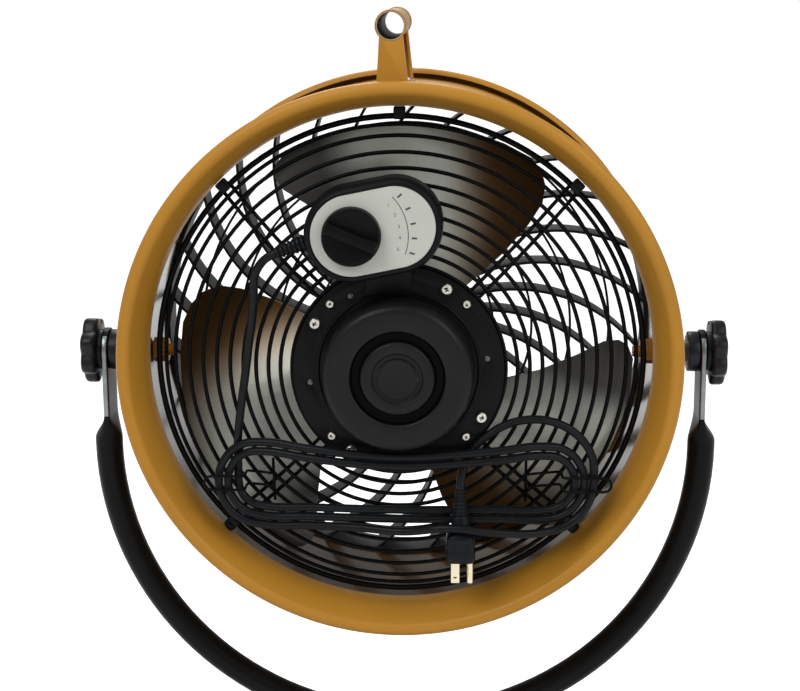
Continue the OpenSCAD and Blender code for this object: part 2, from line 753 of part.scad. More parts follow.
module plate_rivets() {
    color(zinc) at_head() for (a = rivet_angles) rotate([0, 0, a]) translate([rivet_ring_r, 0, 0]) {
        translate([0, 0, plate_t]) cylinder(r = 2.2, h = 0.8);
        cylinder(r = rivet_r, h = plate_t + 0.4);
    }
}
// Section of the rear shell, with its rounded edge, sunk ring and raised middle.
module rear_shell_section(inset) {
    top = rear_shell_depth - inset;
    r = motor_r - inset;
    edge = 8;
    translate([0, 0]) square([r, top - edge]);
    square([r - edge, top]);
    translate([r - edge, top - edge]) circle(r = edge);
}
// Where the rear bearing starts, above the shell's foot.
housing_z = rear_shell_depth - bearing_t - shell_t - 5.5;
well_r = 35.7;
well_depth = 6;
crown_r = 28;
dish_r = 19;
dish_depth = 2;
cap_r = 15;
module motor_rear_shell() {
    boss_out = bearing_r + 4;
    color(black) at_head() translate([0, 0, plate_t]) difference() {
        union() {
            rotate_extrude() difference() {
                rear_shell_section(0);
                translate([0, -cut]) rear_shell_section(shell_t);
                translate([-cut, -cut]) square([motor_r - shell_t, 2 * cut]);
            }
            translate([0, 0, housing_z]) cylinder(r = boss_out, h = bearing_t + shell_t + 2);
            translate([0, 0, rear_shell_depth - well_depth - shell_t])
                cylinder(r = well_r + shell_t, h = well_depth + shell_t - 0.5);
        }
        translate([0, 0, rear_shell_depth - well_depth]) difference() {
            cylinder(r = well_r, h = well_depth + cut);
            translate([0, 0, -cut]) cylinder(r = crown_r, h = well_depth + 2 * cut);
        }
        translate([0, 0, housing_z - cut]) cylinder(r = bearing_r + fit, h = bearing_t + cut);
        translate([0, 0, rear_shell_depth - dish_depth]) cylinder(r = dish_r, h = dish_depth + cut);
        translate([0, 0, rear_shell_depth - dish_depth - 1]) cylinder(r = cap_r + fit, h = 1 + cut);
        translate([0, 0, housing_z]) cylinder(r = shaft_r + 2, h = bearing_t + 1.5);
    }
}
module bearing_cap() {
    color(black) at_head() translate([0, 0, plate_t + rear_shell_depth - dish_depth - 1])
        cylinder(r = cap_r, h = dish_depth + 1.5);
}
module motor_front_shell() {
    depth = front_shell_depth;
    color(black) at_head() translate([0, 0, -depth]) difference() {
        union() {
            cylinder(r = motor_r, h = depth);
            translate([0, 0, -3]) cylinder(r = bearing_r + 4, h = 6);
        }
        translate([0, 0, shell_t]) cylinder(r = motor_r - shell_t, h = depth);
        translate([0, 0, -3 - cut]) cylinder(r = shaft_r + 1, h = 20);
    }
    color(black) at_head() translate([0, 0, -depth + shell_t - fit])
        tube(bearing_r + 4, bearing_r + fit, bearing_t + fit);
}
stator_top = -6;
stator_l = 30;
module stator() {
    color(steel) at_head() translate([0, 0, stator_top - stator_l])
        tube(motor_r - shell_t - fit, rotor_r + 0.4, stator_l);
}
module shaft_bearings() {
    color(steel) at_head() {
        translate([0, 0, -front_shell_depth + shell_t]) tube(bearing_r, shaft_r + fit, bearing_t);
        translate([0, 0, plate_t + housing_z]) tube(bearing_r, shaft_r + fit, bearing_t);
    }
}
module rotor_core() {
    color(steel) at_head() translate([0, 0, stator_top - stator_l])
        tube(rotor_r, shaft_r + fit / 2, stator_l);
}

// The fan

hub_front_z = fan_z - hub_h / 2;
nut_t = 8;
module motor_shaft() {
    rear_end = plate_t + housing_z + bearing_t + 1;
    color(zinc) at_head() translate([0, 0, hub_front_z - nut_t - 3])
        cylinder(r = shaft_r, h = rear_end - hub_front_z + nut_t + 3);
}
// The curved sheet that all blades and arms are cut from, its span along x.
module pitched_sheet(t, below) {
    reach = wall_r;
    translate([0, 0, fan_z]) rotate([blade_pitch, 0, 0]) translate([0, 0, -blade_camber_r - below])
        rotate([0, 90, 0]) difference() {
            cylinder(r = blade_camber_r + t, h = reach, $fn = 720);
            translate([0, 0, -cut]) cylinder(r = blade_camber_r, h = reach + 2 * cut, $fn = 720);
        }
}
// Outline of a blade in polar steps: swept back, broad, with rounded outer corners.
blade_side = [[26, 16], [50, 24], [80, 31], [110, 36], [140, 39], [160, 40], [172, 38.5], [179, 36]];
function polar(r, a) = [r * cos(a), r * sin(a)];
function blade_scale() = tip_d / 2 / 183;
module blade_outline() {
    k = blade_scale();
    sweep = 0.13;
    tip_half = 32;
    left = [for (p = blade_side) polar(p[0] * k, p[1] + (p[0] - 110) * sweep)];
    right = [for (i = [len(blade_side) - 1:-1:0]) polar(blade_side[i][0] * k,
        -blade_side[i][1] + (blade_side[i][0] - 110) * sweep)];
    tip = [for (i = [0:8]) polar(183 * k, tip_half * (1 - i / 4) + (183 - 110) * sweep)];
    polygon(concat(left, tip, right));
}
module fan_blade(angle) {
    color([0.62, 0.61, 0.58]) at_head() rotate([0, 0, angle]) intersection() {
        pitched_sheet(blade_t, 0);
        translate([0, 0, fan_z - 90]) linear_extrude(height = 130) blade_outline();
    }
}
blade_angles = [78, 198, 318];
module fan_blade_1() {
    fan_blade(blade_angles[0]);
}
module fan_blade_2() {
    fan_blade(blade_angles[1]);
}
module fan_blade_3() {
    fan_blade(blade_angles[2]);
}
arm_t = 2.5;
arm_w = 26;
arm_l = 52;
module fan_hub() {
    color(steel) at_head() difference() {
        union() {
            translate([0, 0, hub_front_z]) cylinder(r = hub_r, h = hub_h);
            for (a = blade_angles) rotate([0, 0, a]) intersection() {
                pitched_sheet(arm_t, arm_t + 2 * fit);
                translate([0, 0, fan_z - hub_h]) linear_extrude(height = 2 * hub_h)
                    translate([hub_r / 2, -arm_w / 2]) square([arm_l, arm_w]);
            }
        }
        translate([0, 0, hub_front_z - cut]) cylinder(r = shaft_r + fit / 2, h = hub_h + 2 * cut);
    }
}
module hub_nut() {
    color(zinc) at_head() translate([0, 0, hub_front_z - nut_t - fit]) difference() {
        hexagon(22, nut_t);
        translate([0, 0, -cut]) cylinder(r = shaft_r + fit / 2, h = nut_t + 2 * cut);
    }
}

// The tilt pivots, drawn about the pivot line

nut_in = 12;
nut_across = 18;
bolt_end = 6;
nut_face = sqrt(pow(wall_in, 2) - pow(pivot_drop + 10, 2)) - gap;
module pivot_side(side) {
    at_pivots() mirror([side < 0 ? 1 : 0, 0, 0]) children();
}
module pivot_bolts() {
    color(zinc) for (side = [-1, 1]) pivot_side(side) along_x(nut_face - nut_in - bolt_end)
        cylinder(r = pivot_r, h = yoke_out + star_t - 5 - nut_face + nut_in + bolt_end);
}
module pivot_nuts() {
    color([0.58, 0.40, 0.16]) for (side = [-1, 1]) pivot_side(side) along_x(nut_face - nut_in) difference() {
        hexagon(nut_across, nut_in);
        translate([0, 0, -cut]) cylinder(r = pivot_r + fit / 2, h = nut_in + 2 * cut);
    }
}
module pivot_spacers() {
    sleeve_in = sqrt(pow(wall_r, 2) - pow(max(pivot_drop - sleeve_r, 0), 2)) + gap;
    bush_in = yoke_in - gap - bush_l;
    color(black) for (side = [-1, 1]) pivot_side(side) difference() {
        union() {
            along_x(sleeve_in) cylinder(r = sleeve_r, h = bush_in - sleeve_in + 1);
            along_x(bush_in) cylinder(r = bush_r, h = bush_l);
        }
        along_x(sleeve_in - cut) cylinder(r = pivot_r + fit / 2, h = yoke_in - sleeve_in + 2 * cut);
    }
}
module star_knob() {
    along_x(yoke_out + gap) star_grip(star_d, star_t, 7, pivot_r + fit);
}
module star_knob_left() {
    color(black) pivot_side(-1) star_knob();
}
module star_knob_right() {
    color(black) pivot_side(1) star_knob();
}

// The speed control

module control_bracket() {
    color(black) at_head() translate([0, 0, plate_t]) linear_extrude(height = box_z - plate_t) {
        translate([box_x, box_rise]) rotate(box_slant) stadium(box_l - 2, box_w - 2);
        translate([-24, motor_r + 2]) square([34, box_rise - motor_r - 14]);
    }
}
module control_box() {
    color(black) at_box() difference() {
        linear_extrude(height = box_depth) stadium(box_l, box_w);
        translate([0, 0, -cut]) linear_extrude(height = box_depth - box_wall + cut)
            stadium(box_l - 2 * box_wall, box_w - 2 * box_wall);
        translate([-box_focus, 0, 0]) cylinder(r = 5 + fit, h = box_depth + cut);
        translate([-box_l / 2 - cut, 0, relief_z]) along_x(0) cylinder(r = 3.9, h = box_wall + 2 * cut);
    }
}
module control_face() {
    color([0.80, 0.80, 0.77]) at_box() translate([0, 0, box_depth]) difference() {
        linear_extrude(height = face_t) stadium(box_l - 2 * face_margin, box_w - 2 * face_margin);
        translate([-box_focus, 0, -cut]) cylinder(r = 5 + fit, h = face_t + 2 * cut);
    }
}
module dimmer() {
    body_top = box_depth - box_wall - fit;
    color(charcoal) at_box() translate([-box_focus, 0, 0]) difference() {
        union() {
            translate([0, 0, body_top - 12]) cylinder(r = 12, h = 12);
            translate([0, 0, body_top - 1]) cylinder(r = 5, h = box_wall + face_t + 1);
        }
        translate([0, 0, body_top - 10]) cylinder(r = dial_shaft_r + fit, h = 20);
    }
}
module speed_dial() {
    dial_z = box_depth + face_t + gap;
    grip_w = 9;
    color(black) at_box() translate([-box_focus, 0, 0]) {
        translate([0, 0, dial_z]) cylinder(r1 = dial_d / 2, r2 = dial_d / 2 - 0.6, h = dial_h * 0.55);
        translate([0, 0, dial_z]) rotate([0, 0, -22 - box_slant]) intersection() {
            translate([-dial_d / 2, -grip_w / 2, 0]) cube([dial_d, grip_w, dial_h]);
            cylinder(r = dial_d / 2 - 1.4, h = dial_h);
        }
        translate([0, 0, box_depth - box_wall - 8]) cylinder(r = dial_shaft_r, h = box_wall + 12);
    }
}
module strain_relief() {
    root = 1.4;
    color(black) at_box() translate([-box_l / 2, 0, relief_z]) {
        rotate([0, -90, 0]) translate([0, 0, -box_wall]) cylinder(r = 3.8, h = box_wall + 3);
        rotate([0, 0, relief_turn]) rotate([0, -90, 0]) {
            translate([0, 0, root]) cylinder(r1 = 6.4, r2 = cord_r + 0.9, h = relief_l - root);
            for (k = [0:3]) translate([0, 0, 3 + k * 5]) cylinder(r = 6.6 - k * 0.55, h = 2.6);
        }
    }
}

// The mains lead

cord_r = cord_d / 2;
winding_base_z = -3;
relief_slant = box_slant + relief_turn;
relief_aim = [-cos(relief_slant), -sin(relief_slant), 0];
relief_tip = [box_x, box_rise, box_z + relief_z] - box_l / 2 * [cos(box_slant), sin(box_slant), 0]
    + relief_l * relief_aim;
// The winding is flat turns side by side on the two hooks, each wider than the one before it.
winding_half = 109;
winding_x = 3;
first_r = 19.8;
turn_pitch = 7.4;
winding_start = [winding_x - winding_half - first_r, hook_y + cord_d, winding_base_z - 5];
// The lead from the box's strain relief down to the left hook, as points in the head's frame.
lead_points = concat([relief_tip, relief_tip + 3 * relief_aim], [[-96.7, 89.6, 19.5], [-101, 85.6, 18.5],
    [-104.5, 80.4, 17.1], [-106.9, 74.2, 15.4], [-107.8, 67.4, 13.4], [-108.3, 58, 10.8],
    [-109.8, 46, 7.6], [-111.6, 34, 4.8], [-113.8, 22, 2.4], [-115.8, 8, 0.6], [-118.2, -8, -0.9],
    [-120.8, -24, -2.2], [-123.2, -40, -3.9], [-125, -54, -6], [-125.8, -66, -7.6]],
    [winding_start + [0, 9, 0], winding_start]);
plug_x = 47.5;
plug_z = 10.3;
plug_relief_y = -91;
plug_relief_l = 21;

// A tube swept along points: at each point a ring of sides, square to the line through its
// neighbours. No stretch of it may run along side_ref, from which the sides are counted.
function unit(v) = v / norm(v);
function heading(p, i) = unit(p[min(i + 1, len(p) - 1)] - p[max(i - 1, 0)]);
up = [0, 0, 1];
function cord_ring(c, t, r, sides, side_ref) = let (u = unit(cross(t, side_ref)), v = cross(u, t))
    [for (k = [0:sides - 1]) c + r * (cos(k * 360 / sides) * u + sin(k * 360 / sides) * v)];
module swept_tube(p, r, sides, side_ref = up) {
    n = len(p);
    rings = [for (i = [0:n - 1]) each cord_ring(p[i], heading(p, i), r, sides, side_ref)];
    body = [for (i = [0:n - 2], k = [0:sides - 1], half = [0, 1])
        let (a = i * sides + k, b = i * sides + (k + 1) % sides)
            half == 0 ? [a, b, a + sides] : [b, b + sides, a + sides]];
    start = [for (k = [1:sides - 2]) [0, k + 1, k]];
    last = (n - 1) * sides;
    end = [for (k = [1:sides - 2]) [last, last + k, last + k + 1]];
    polyhedron(points = rings, faces = concat(body, start, end));
}
module cord_lead() {
    color(black) at_head() swept_tube(lead_points, cord_r, 10);
}
module cord_tail() {
    color(black) at_head() swept_tube(tail_points, cord_r, 10);
}

// A turn is 24 steps: 3 down the left end, 6 along the bottom, 6 up the right end, 6 back along
// the top and 3 into the left end again. The winding stops on its third time up the right end.
turn_steps = 24;
last_step = 60;
function turn_r(i) = first_r + turn_pitch * i / turn_steps;
function turn_place(i) = let (k = i % turn_steps, r = turn_r(i), h = winding_half)
    k < 3 ? [-h - r * cos(k * 30), -r * sin(k * 30)]
    : k < 9 ? [-h + (k - 3) * h / 3, -r]
    : k < 15 ? [h + r * sin((k - 9) * 30), -r * cos((k - 9) * 30)]
    : k < 21 ? [h - (k - 15) * h / 3, r]
    : [-h - r * sin((k - 21) * 30), r * cos((k - 21) * 30)];
function hump(x, centre, width) = exp(-pow((x - centre) / width, 2));
function flat_hump(x, half, fall) = 0.5 + 0.5 * cos(180 * min(max(abs(x) - half, 0) / fall, 1));
// The first turn starts low, the top runs rise and sag over the motor plate and the tail, and the
// last bottom run goes up and over the plug's neck.
function winding_point(i) = let (
        p = turn_place(i), top = (1 + p[1] / turn_r(i)) / 2, last = i > 2 * turn_steps + 1 ? 1 : 0,
        x = p[0] + winding_x,
        sag = -7.3 * hump(x, 0, 70) * pow(top, 4) + last * 9 * hump(x, 50, 28) * (1 - top),
        rise = 19 * flat_hump(x - 8, 45, 110) * top + (4 * hump(x, 0, 60)
            + last * 25.6 * hump(x, 57, 55)) * (1 - top) - 5 * max(1 - i / 4, 0))
    [x, hook_y + p[1] + sag, winding_base_z + rise];
winding_end = winding_point(last_step) + [0, cord_d, 0];
winding_points = concat([winding_start], [for (i = [0:last_step]) winding_point(i)], [winding_end]);
// The tail, from the winding's last turn down to the plug's strain relief.
tail_points = concat([winding_end, winding_end + [0, 5, 0]], [[148.6, -69, -1.6], [143.6, -59, -1.2],
    [136, -50.5, -0.6], [126, -43.8, 0], [115, -39.8, 0.8], [103, -38.4, 1.6], [90, -39.8, 2.8],
    [78, -44, 4.2], [69, -49.5, 5.6], [61, -56, 6.9], [55.2, -63.5, 7.4], [51, -71, 8.2],
    [48.5, -79, 9.4]], [[plug_x, plug_relief_y + 5, plug_z], [plug_x, plug_relief_y, plug_z]]);
function near_gap(p, skip) = min([for (i = [0:len(p) - 1 - skip], j = [i + skip:len(p) - 1])
    segment_gap(p[i], p[min(i + 1, len(p) - 1)], p[j], p[min(j + 1, len(p) - 1)])]) - cord_d;
function segment_gap(a, b, c, d) = min([for (s = [0:0.25:1], t = [0:0.25:1])
    norm(a + s * (b - a) - c - t * (d - c))]);
module cord_winding() {
    echo(least_gap_in_winding = near_gap(winding_points, 6));
    color(black) at_head() swept_tube(winding_points, cord_r, 6);
}

module at_plug(y) {
    at_head() translate([plug_x, y, plug_z]) rotate([90, 0, 0]) children();
}
plug_top = plug_relief_y - plug_relief_l;
module plug_relief() {
    color(black) at_plug(plug_relief_y) {
        cylinder(r1 = cord_r + 0.8, r2 = 6.2, h = plug_relief_l);
        for (k = [0:3]) translate([0, 0, 1.5 + k * 5]) cylinder(r = 4.9 + k * 0.5, h = 2.5);
    }
}
module plug_body() {
    neck_l = 10.6;
    neck_r = 7.2;
    shoulder = 5;
    color(black) at_plug(plug_top) {
        cylinder(r = neck_r, h = neck_l + 1);
        translate([0, 0, neck_l]) intersection() {
            union() {
                cylinder(r1 = neck_r + 0.8, r2 = 12.5, h = shoulder);
                translate([0, 0, shoulder]) cylinder(r = 14, h = plug_l - neck_l - shoulder);
            }
            translate([-11.5, -12.5, 0]) cube([23, 25, plug_l]);
        }
    }
}
blade_x = -4;
ground_x = 7.4;
pin_r = 2.4;
pin_l = 18.8;
module plug_blades() {
    color(brass) at_plug(plug_top - plug_l) for (side = [-1, 1]) difference() {
        translate([blade_x - 3.2, side * 6.35 - 0.75, 0]) cube([6.4, 1.5, 17]);
        translate([blade_x, side * 6.35 - 2, 12]) rotate([-90, 0, 0]) cylinder(r = 1.5, h = 4);
    }
}
module ground_pin() {
    color(brass) at_plug(plug_top - plug_l) translate([ground_x, 0, 0]) {
        cylinder(r = pin_r, h = pin_l);
        translate([0, 0, pin_l]) cylinder(r1 = pin_r, r2 = pin_r / 2, h = pin_r * 2 / 3);
    }
}

foot_ring();
base_weight();
base_shell();
pole_socket();
socket_bolts();
outer_pole();
clamp_collar();
guide_bush();
height_knob();
inner_pole();
pole_slider();
yoke_socket();
yoke_screws();
yoke_tube();
swivel_knob();
drum_shell();
handle_legs();
handle_tube();
handle_screws();
front_vanes();
front_rings();
front_badge();
rear_rings();
rear_ribs();
guard_clips();
cord_hooks();
motor_plate();
plate_bolts();
rib_screws();
plate_rivets();
motor_rear_shell();
bearing_cap();
motor_front_shell();
stator();
shaft_bearings();
rotor_core();
motor_shaft();
fan_hub();
fan_blade_1();
fan_blade_2();
fan_blade_3();
hub_nut();
pivot_bolts();
pivot_nuts();
pivot_spacers();
star_knob_left();
star_knob_right();
control_box();
control_face();
control_bracket();
dimmer();
speed_dial();
strain_relief();
cord_lead();
cord_winding();
cord_tail();
plug_relief();
plug_body();
plug_blades();
ground_pin();
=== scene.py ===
"""Looks of the drum fan on its pedestal, laid out as an add-on with one operator per group of pieces.

Pieces on the fan's head are drawn in millimetres in the head's own frame: x to the right as seen from
behind, y up and z towards the viewer behind the fan, from the middle of the rear rim's plane.
"""

import json
import math

import bmesh
import bpy
from mathutils import Matrix, Vector


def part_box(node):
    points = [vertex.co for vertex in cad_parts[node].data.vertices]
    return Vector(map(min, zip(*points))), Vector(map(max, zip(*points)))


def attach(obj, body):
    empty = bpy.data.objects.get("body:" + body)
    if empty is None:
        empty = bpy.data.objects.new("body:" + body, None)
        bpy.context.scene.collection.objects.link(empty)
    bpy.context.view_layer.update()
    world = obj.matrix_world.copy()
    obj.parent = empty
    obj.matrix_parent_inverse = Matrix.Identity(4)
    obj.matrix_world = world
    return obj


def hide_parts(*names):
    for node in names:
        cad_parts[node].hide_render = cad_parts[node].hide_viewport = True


bl_info = {
    "name": "Drum Fan on a Pedestal",
    "version": (1, 0, 0),
    "blender": (4, 5, 0),
    "location": "View3D > Sidebar > Drum Fan",
    "description": "Builds the visible pieces and finishes of a drum fan on its pedestal",
    "category": "Object",
}

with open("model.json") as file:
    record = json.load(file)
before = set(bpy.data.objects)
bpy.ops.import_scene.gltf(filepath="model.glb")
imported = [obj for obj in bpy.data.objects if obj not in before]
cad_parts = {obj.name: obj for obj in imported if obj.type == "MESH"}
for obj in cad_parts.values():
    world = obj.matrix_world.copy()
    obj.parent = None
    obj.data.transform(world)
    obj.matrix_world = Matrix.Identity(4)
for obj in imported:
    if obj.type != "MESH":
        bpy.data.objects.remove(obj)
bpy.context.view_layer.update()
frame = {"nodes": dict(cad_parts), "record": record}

MM = 0.001
AXIS_HEIGHT = 995
HEAD = Matrix(((-MM, 0, 0, 0), (0, 0, MM, 0.1), (0, MM, 0, AXIS_HEIGHT * MM), (0, 0, 0, 1)))
STAND = Matrix.Scale(MM, 4)
AS_IS = Matrix.Identity(4)
TO_HEAD = HEAD.inverted()

# Sizes on the head that several pieces share, in millimetres and degrees
PIVOT_Y, PIVOT_Z = -8, -100
WALL_R, WALL_INSIDE_R, BEAD_R, BEAD_Z = 209, 207.4, 213, -195
LIP_R, LIP_Z, THROAT_R, THROAT_Z, BELL_R, BELL_SWEEP = 212, -6, 197.5, -38, 70.4, 29.8
GRIP_HEIGHT, GRIP_LENGTH, GRIP_FRONT, GRIP_R, BORE_R, HANDLE_LEAN = 258, 139, -159, 11.2, 10, 1.3
BOX_X, BOX_Y, BOX_BASE, BOX_SLANT, LEAD_SLANT = -17, 112, 6, 11.5, 21.5
BOX_END_R, HALF_STRAIGHT = 35.5, 16
BOX = Matrix.Translation((BOX_X, BOX_Y, BOX_BASE)) @ Matrix.Rotation(math.radians(BOX_SLANT), 4, "Z")
GUARD_START, GUARD_DOME_R, GUARD_Z = 73, 208.125, -1.65
HOOP_R, SECOND_HOOP_R, HOOP_Z, HOOP_WIRE, RING_WIRE = 190, 184, -36.8, 4.6, 3.2
LOOSE_RINGS = [81.7 + 8.8 * k + 0.185 * k * k for k in range(10)]
BLADE_ANGLES, BLADE_PITCH, BLADE_CAMBER_R, BLADE_SHEET, HUB_Z = (78, 198, 318), 21, 300, 1.6, -66
SCREW_CIRCLE_R, RIVET_CIRCLE_R = 73, 68
# Where the blades' painted reflection of the drum and their painted shade fall, how far they wander, and the
# painted shade's dark tone
PAINTED_REFLECTION_ANGLE, PAINTED_REFLECTION_WANDER, PAINTED_SHADE_METAL = 76, 0.03, (0.040, 0.038, 0.034)
MARKS = (40, 26, 11.5, -2, -16)
BOW_R, BOW_DROP, TUBE_R, KNOB_FOOT = 247, -80.5, 11.25, 247.5
FLAT_FROM, FLAT_EASING, FLAT_SHIFT, FLAT_HALF_THICK, FLAT_HALF_WIDE, FLAT_POWER = -76, 23, 2.3, 2.5, 18, 0.28
DIAL_X, DIAL_Y, FACE_TOP = -32.68, 108.81, 37.4

BODY_OF = {node: body for body, nodes in frame["record"]["behaviour"]["bodies"].items() for node in nodes}


# Settings

class DrumFanFinishes(bpy.types.PropertyGroup):
    """Colours that a user would change."""

    amber: bpy.props.FloatVectorProperty(
        name="Drum", description="Colour of the drum's enamel", subtype="COLOR", size=3,
        default=(0.43, 0.20, 0.022), min=0, max=1)
    # Painted shade: a darker copy of the drum's amber for the faces inside the drum and inside the bead's curl
    amber_inside: bpy.props.FloatVectorProperty(
        name="Drum inside", description="Colour of the enamel inside the drum", subtype="COLOR", size=3,
        default=(0.13, 0.063, 0.014), min=0, max=1)
    black: bpy.props.FloatVectorProperty(
        name="Black enamel", description="Colour of the motor, yoke and stand", subtype="COLOR", size=3,
        default=(0.0045, 0.0045, 0.0045), min=0, max=1)
    grip: bpy.props.FloatVectorProperty(
        name="Grip", description="Colour of the carrying tube", subtype="COLOR", size=3,
        default=(0.36, 0.26, 0.14), min=0, max=1)
    blade: bpy.props.FloatVectorProperty(
        name="Blades", description="Colour of the blades' metal", subtype="COLOR", size=3,
        default=(0.38, 0.39, 0.345), min=0, max=1)
    # Painted reflection: the warm tone the blades' metal takes on towards one side stands in for the amber drum
    # mirrored in it
    blade_warm: bpy.props.FloatVectorProperty(
        name="Blades, warm", description="Colour that the blades' metal takes on towards one side", size=3,
        subtype="COLOR", default=(0.19, 0.103, 0.038), min=0, max=1)
    face: bpy.props.FloatVectorProperty(
        name="Dial plate", description="Colour of the plate round the dial", subtype="COLOR", size=3,
        default=(0.50, 0.51, 0.46), min=0, max=1)


class DrumFanView(bpy.types.PropertyGroup):
    """Camera and light."""

    camera_place: bpy.props.FloatVectorProperty(
        name="Camera", description="Place of the camera", subtype="TRANSLATION", unit="LENGTH", size=3,
        default=(-0.04567, 1.28212, 1.285))
    focal_length: bpy.props.FloatProperty(
        name="Focal length", description="Focal length on a 36 mm sensor, in millimetres",
        default=71.80, min=10, max=300)
    yaw: bpy.props.FloatProperty(
        name="Yaw", description="Turn of the camera to the left", subtype="ANGLE", default=-0.0274)
    pitch: bpy.props.FloatProperty(
        name="Pitch", description="Tilt of the camera, up counting as more", subtype="ANGLE", default=-0.2003)
    roll: bpy.props.FloatProperty(
        name="Roll", description="Roll of the camera", subtype="ANGLE", default=-0.00226)
    daylight: bpy.props.FloatProperty(
        name="Daylight", description="Strength of the even light from all round", default=0.44, min=0, max=2)


class DrumFanSizes(bpy.types.PropertyGroup):
    """Sizes of the dressed pieces."""

    lead_diameter: bpy.props.FloatProperty(
        name="Lead", description="Diameter of the mains lead", unit="LENGTH",
        default=0.0065, min=0.004, max=0.01)
    round_steps: bpy.props.IntProperty(
        name="Steps", description="Steps in a full turn of the drum", default=192, min=48, max=360)
    ring_steps: bpy.props.IntProperty(
        name="Ring steps", description="Steps in a full turn of a guard ring", default=128, min=48, max=256)
    weld: bpy.props.FloatProperty(
        name="Weld", description="Width of the welds on the guard", unit="LENGTH",
        default=0.0034, min=0.002, max=0.006)
    number_height: bpy.props.FloatProperty(
        name="Numbers", description="Height of the numbers on the control's face", unit="LENGTH",
        default=0.0026, min=0.001, max=0.005)


# Finishes

def add_node(tree, kind, inputs=None, **settings):
    """Adds a shader node, each input a value or another node's socket, and answers its outputs."""
    made = tree.nodes.new("ShaderNode" + kind)
    for name, value in settings.items():
        setattr(made, name, value)
    for name, value in (inputs or {}).items():
        if isinstance(value, bpy.types.NodeSocket):
            tree.links.new(value, made.inputs[name])
        else:
            made.inputs[name].default_value = value
    return made.outputs


def finish(name, colour, rough, metallic=0.0, specular=0.5, mottle=(30, 0.08), rough_spread=0.08,
           grain=(900, 0.06, 0.0003), stretch=(1, 1, 1)):
    """A surface whose colour, gloss and fine grain wander a little, as on the real piece."""
    mat = bpy.data.materials.new(name)
    mat.use_nodes = True
    tree = mat.node_tree
    shader = tree.nodes["Principled BSDF"].inputs
    shader["Metallic"].default_value = metallic
    shader["Specular IOR Level"].default_value = specular
    place = add_node(tree, "Mapping", {"Vector": add_node(tree, "TexCoord")["Object"], "Scale": stretch})[0]
    clouds = add_node(tree, "TexNoise", {"Vector": place, "Scale": mottle[0], "Detail": 6})["Fac"]
    ramp = tree.nodes.new("ShaderNodeValToRGB")
    tree.links.new(clouds, ramp.inputs["Fac"])
    for stop, position, share in zip(ramp.color_ramp.elements, (0.3, 0.7), (1 - mottle[1], 1 + mottle[1])):
        stop.position = position
        stop.color = [min(c * share, 1) for c in colour] + [1]
    tree.links.new(ramp.outputs["Color"], shader["Base Color"])
    gloss = add_node(tree, "MapRange", {"Value": clouds, "To Min": max(rough - rough_spread, 0.02),
                                        "To Max": min(rough + rough_spread, 1)})["Result"]
    tree.links.new(gloss, shader["Roughness"])
    fine = add_node(tree, "TexNoise", {"Vector": place, "Scale": grain[0], "Detail": 3})["Fac"]
    bump = add_node(tree, "Bump", {"Height": fine, "Strength": grain[1], "Distance": grain[2]})["Normal"]
    tree.links.new(bump, shader["Normal"])
    return mat


def warm_tint(mat, warm, angle):
    """Paints a reflection of the amber drum onto a blade's metal as a warm tone at one long edge, and painted
    shade as a dark tone at the other.
    """
    tree = mat.node_tree
    colour = tree.nodes["Principled BSDF"].inputs["Base Color"]
    tone = colour.links[0].from_socket
    aim = Vector((-math.cos(math.radians(angle)), 0, math.sin(math.radians(angle))))
    place = add_node(tree, "TexCoord")["Object"]
    along = add_node(tree, "VectorMath", {0: place, 1: aim}, operation="DOT_PRODUCT")["Value"]
    cloud = add_node(tree, "TexNoise", {"Vector": place, "Scale": 9})["Fac"]
    along = add_node(tree, "Math", {0: cloud, 1: PAINTED_REFLECTION_WANDER, 2: along}, operation="MULTIPLY_ADD")["Value"]
    middle = aim.z * AXIS_HEIGHT * MM + PAINTED_REFLECTION_WANDER / 2
    # A warm painted reflection at one long edge and a dark painted shade at the other
    for start, stop, painted_tone in ((0.030, 0.082, warm), (-0.020, -0.060, PAINTED_SHADE_METAL)):
        span = {"Value": along, "From Min": middle + start, "From Max": middle + stop}
        share = add_node(tree, "MapRange", span, interpolation_type="SMOOTHSTEP")["Result"]
        tone = add_node(tree, "Mix", {"Factor": share, 6: tone, 7: (*painted_tone, 1)}, data_type="RGBA")[2]
    tree.links.new(tone, colour)
    return mat


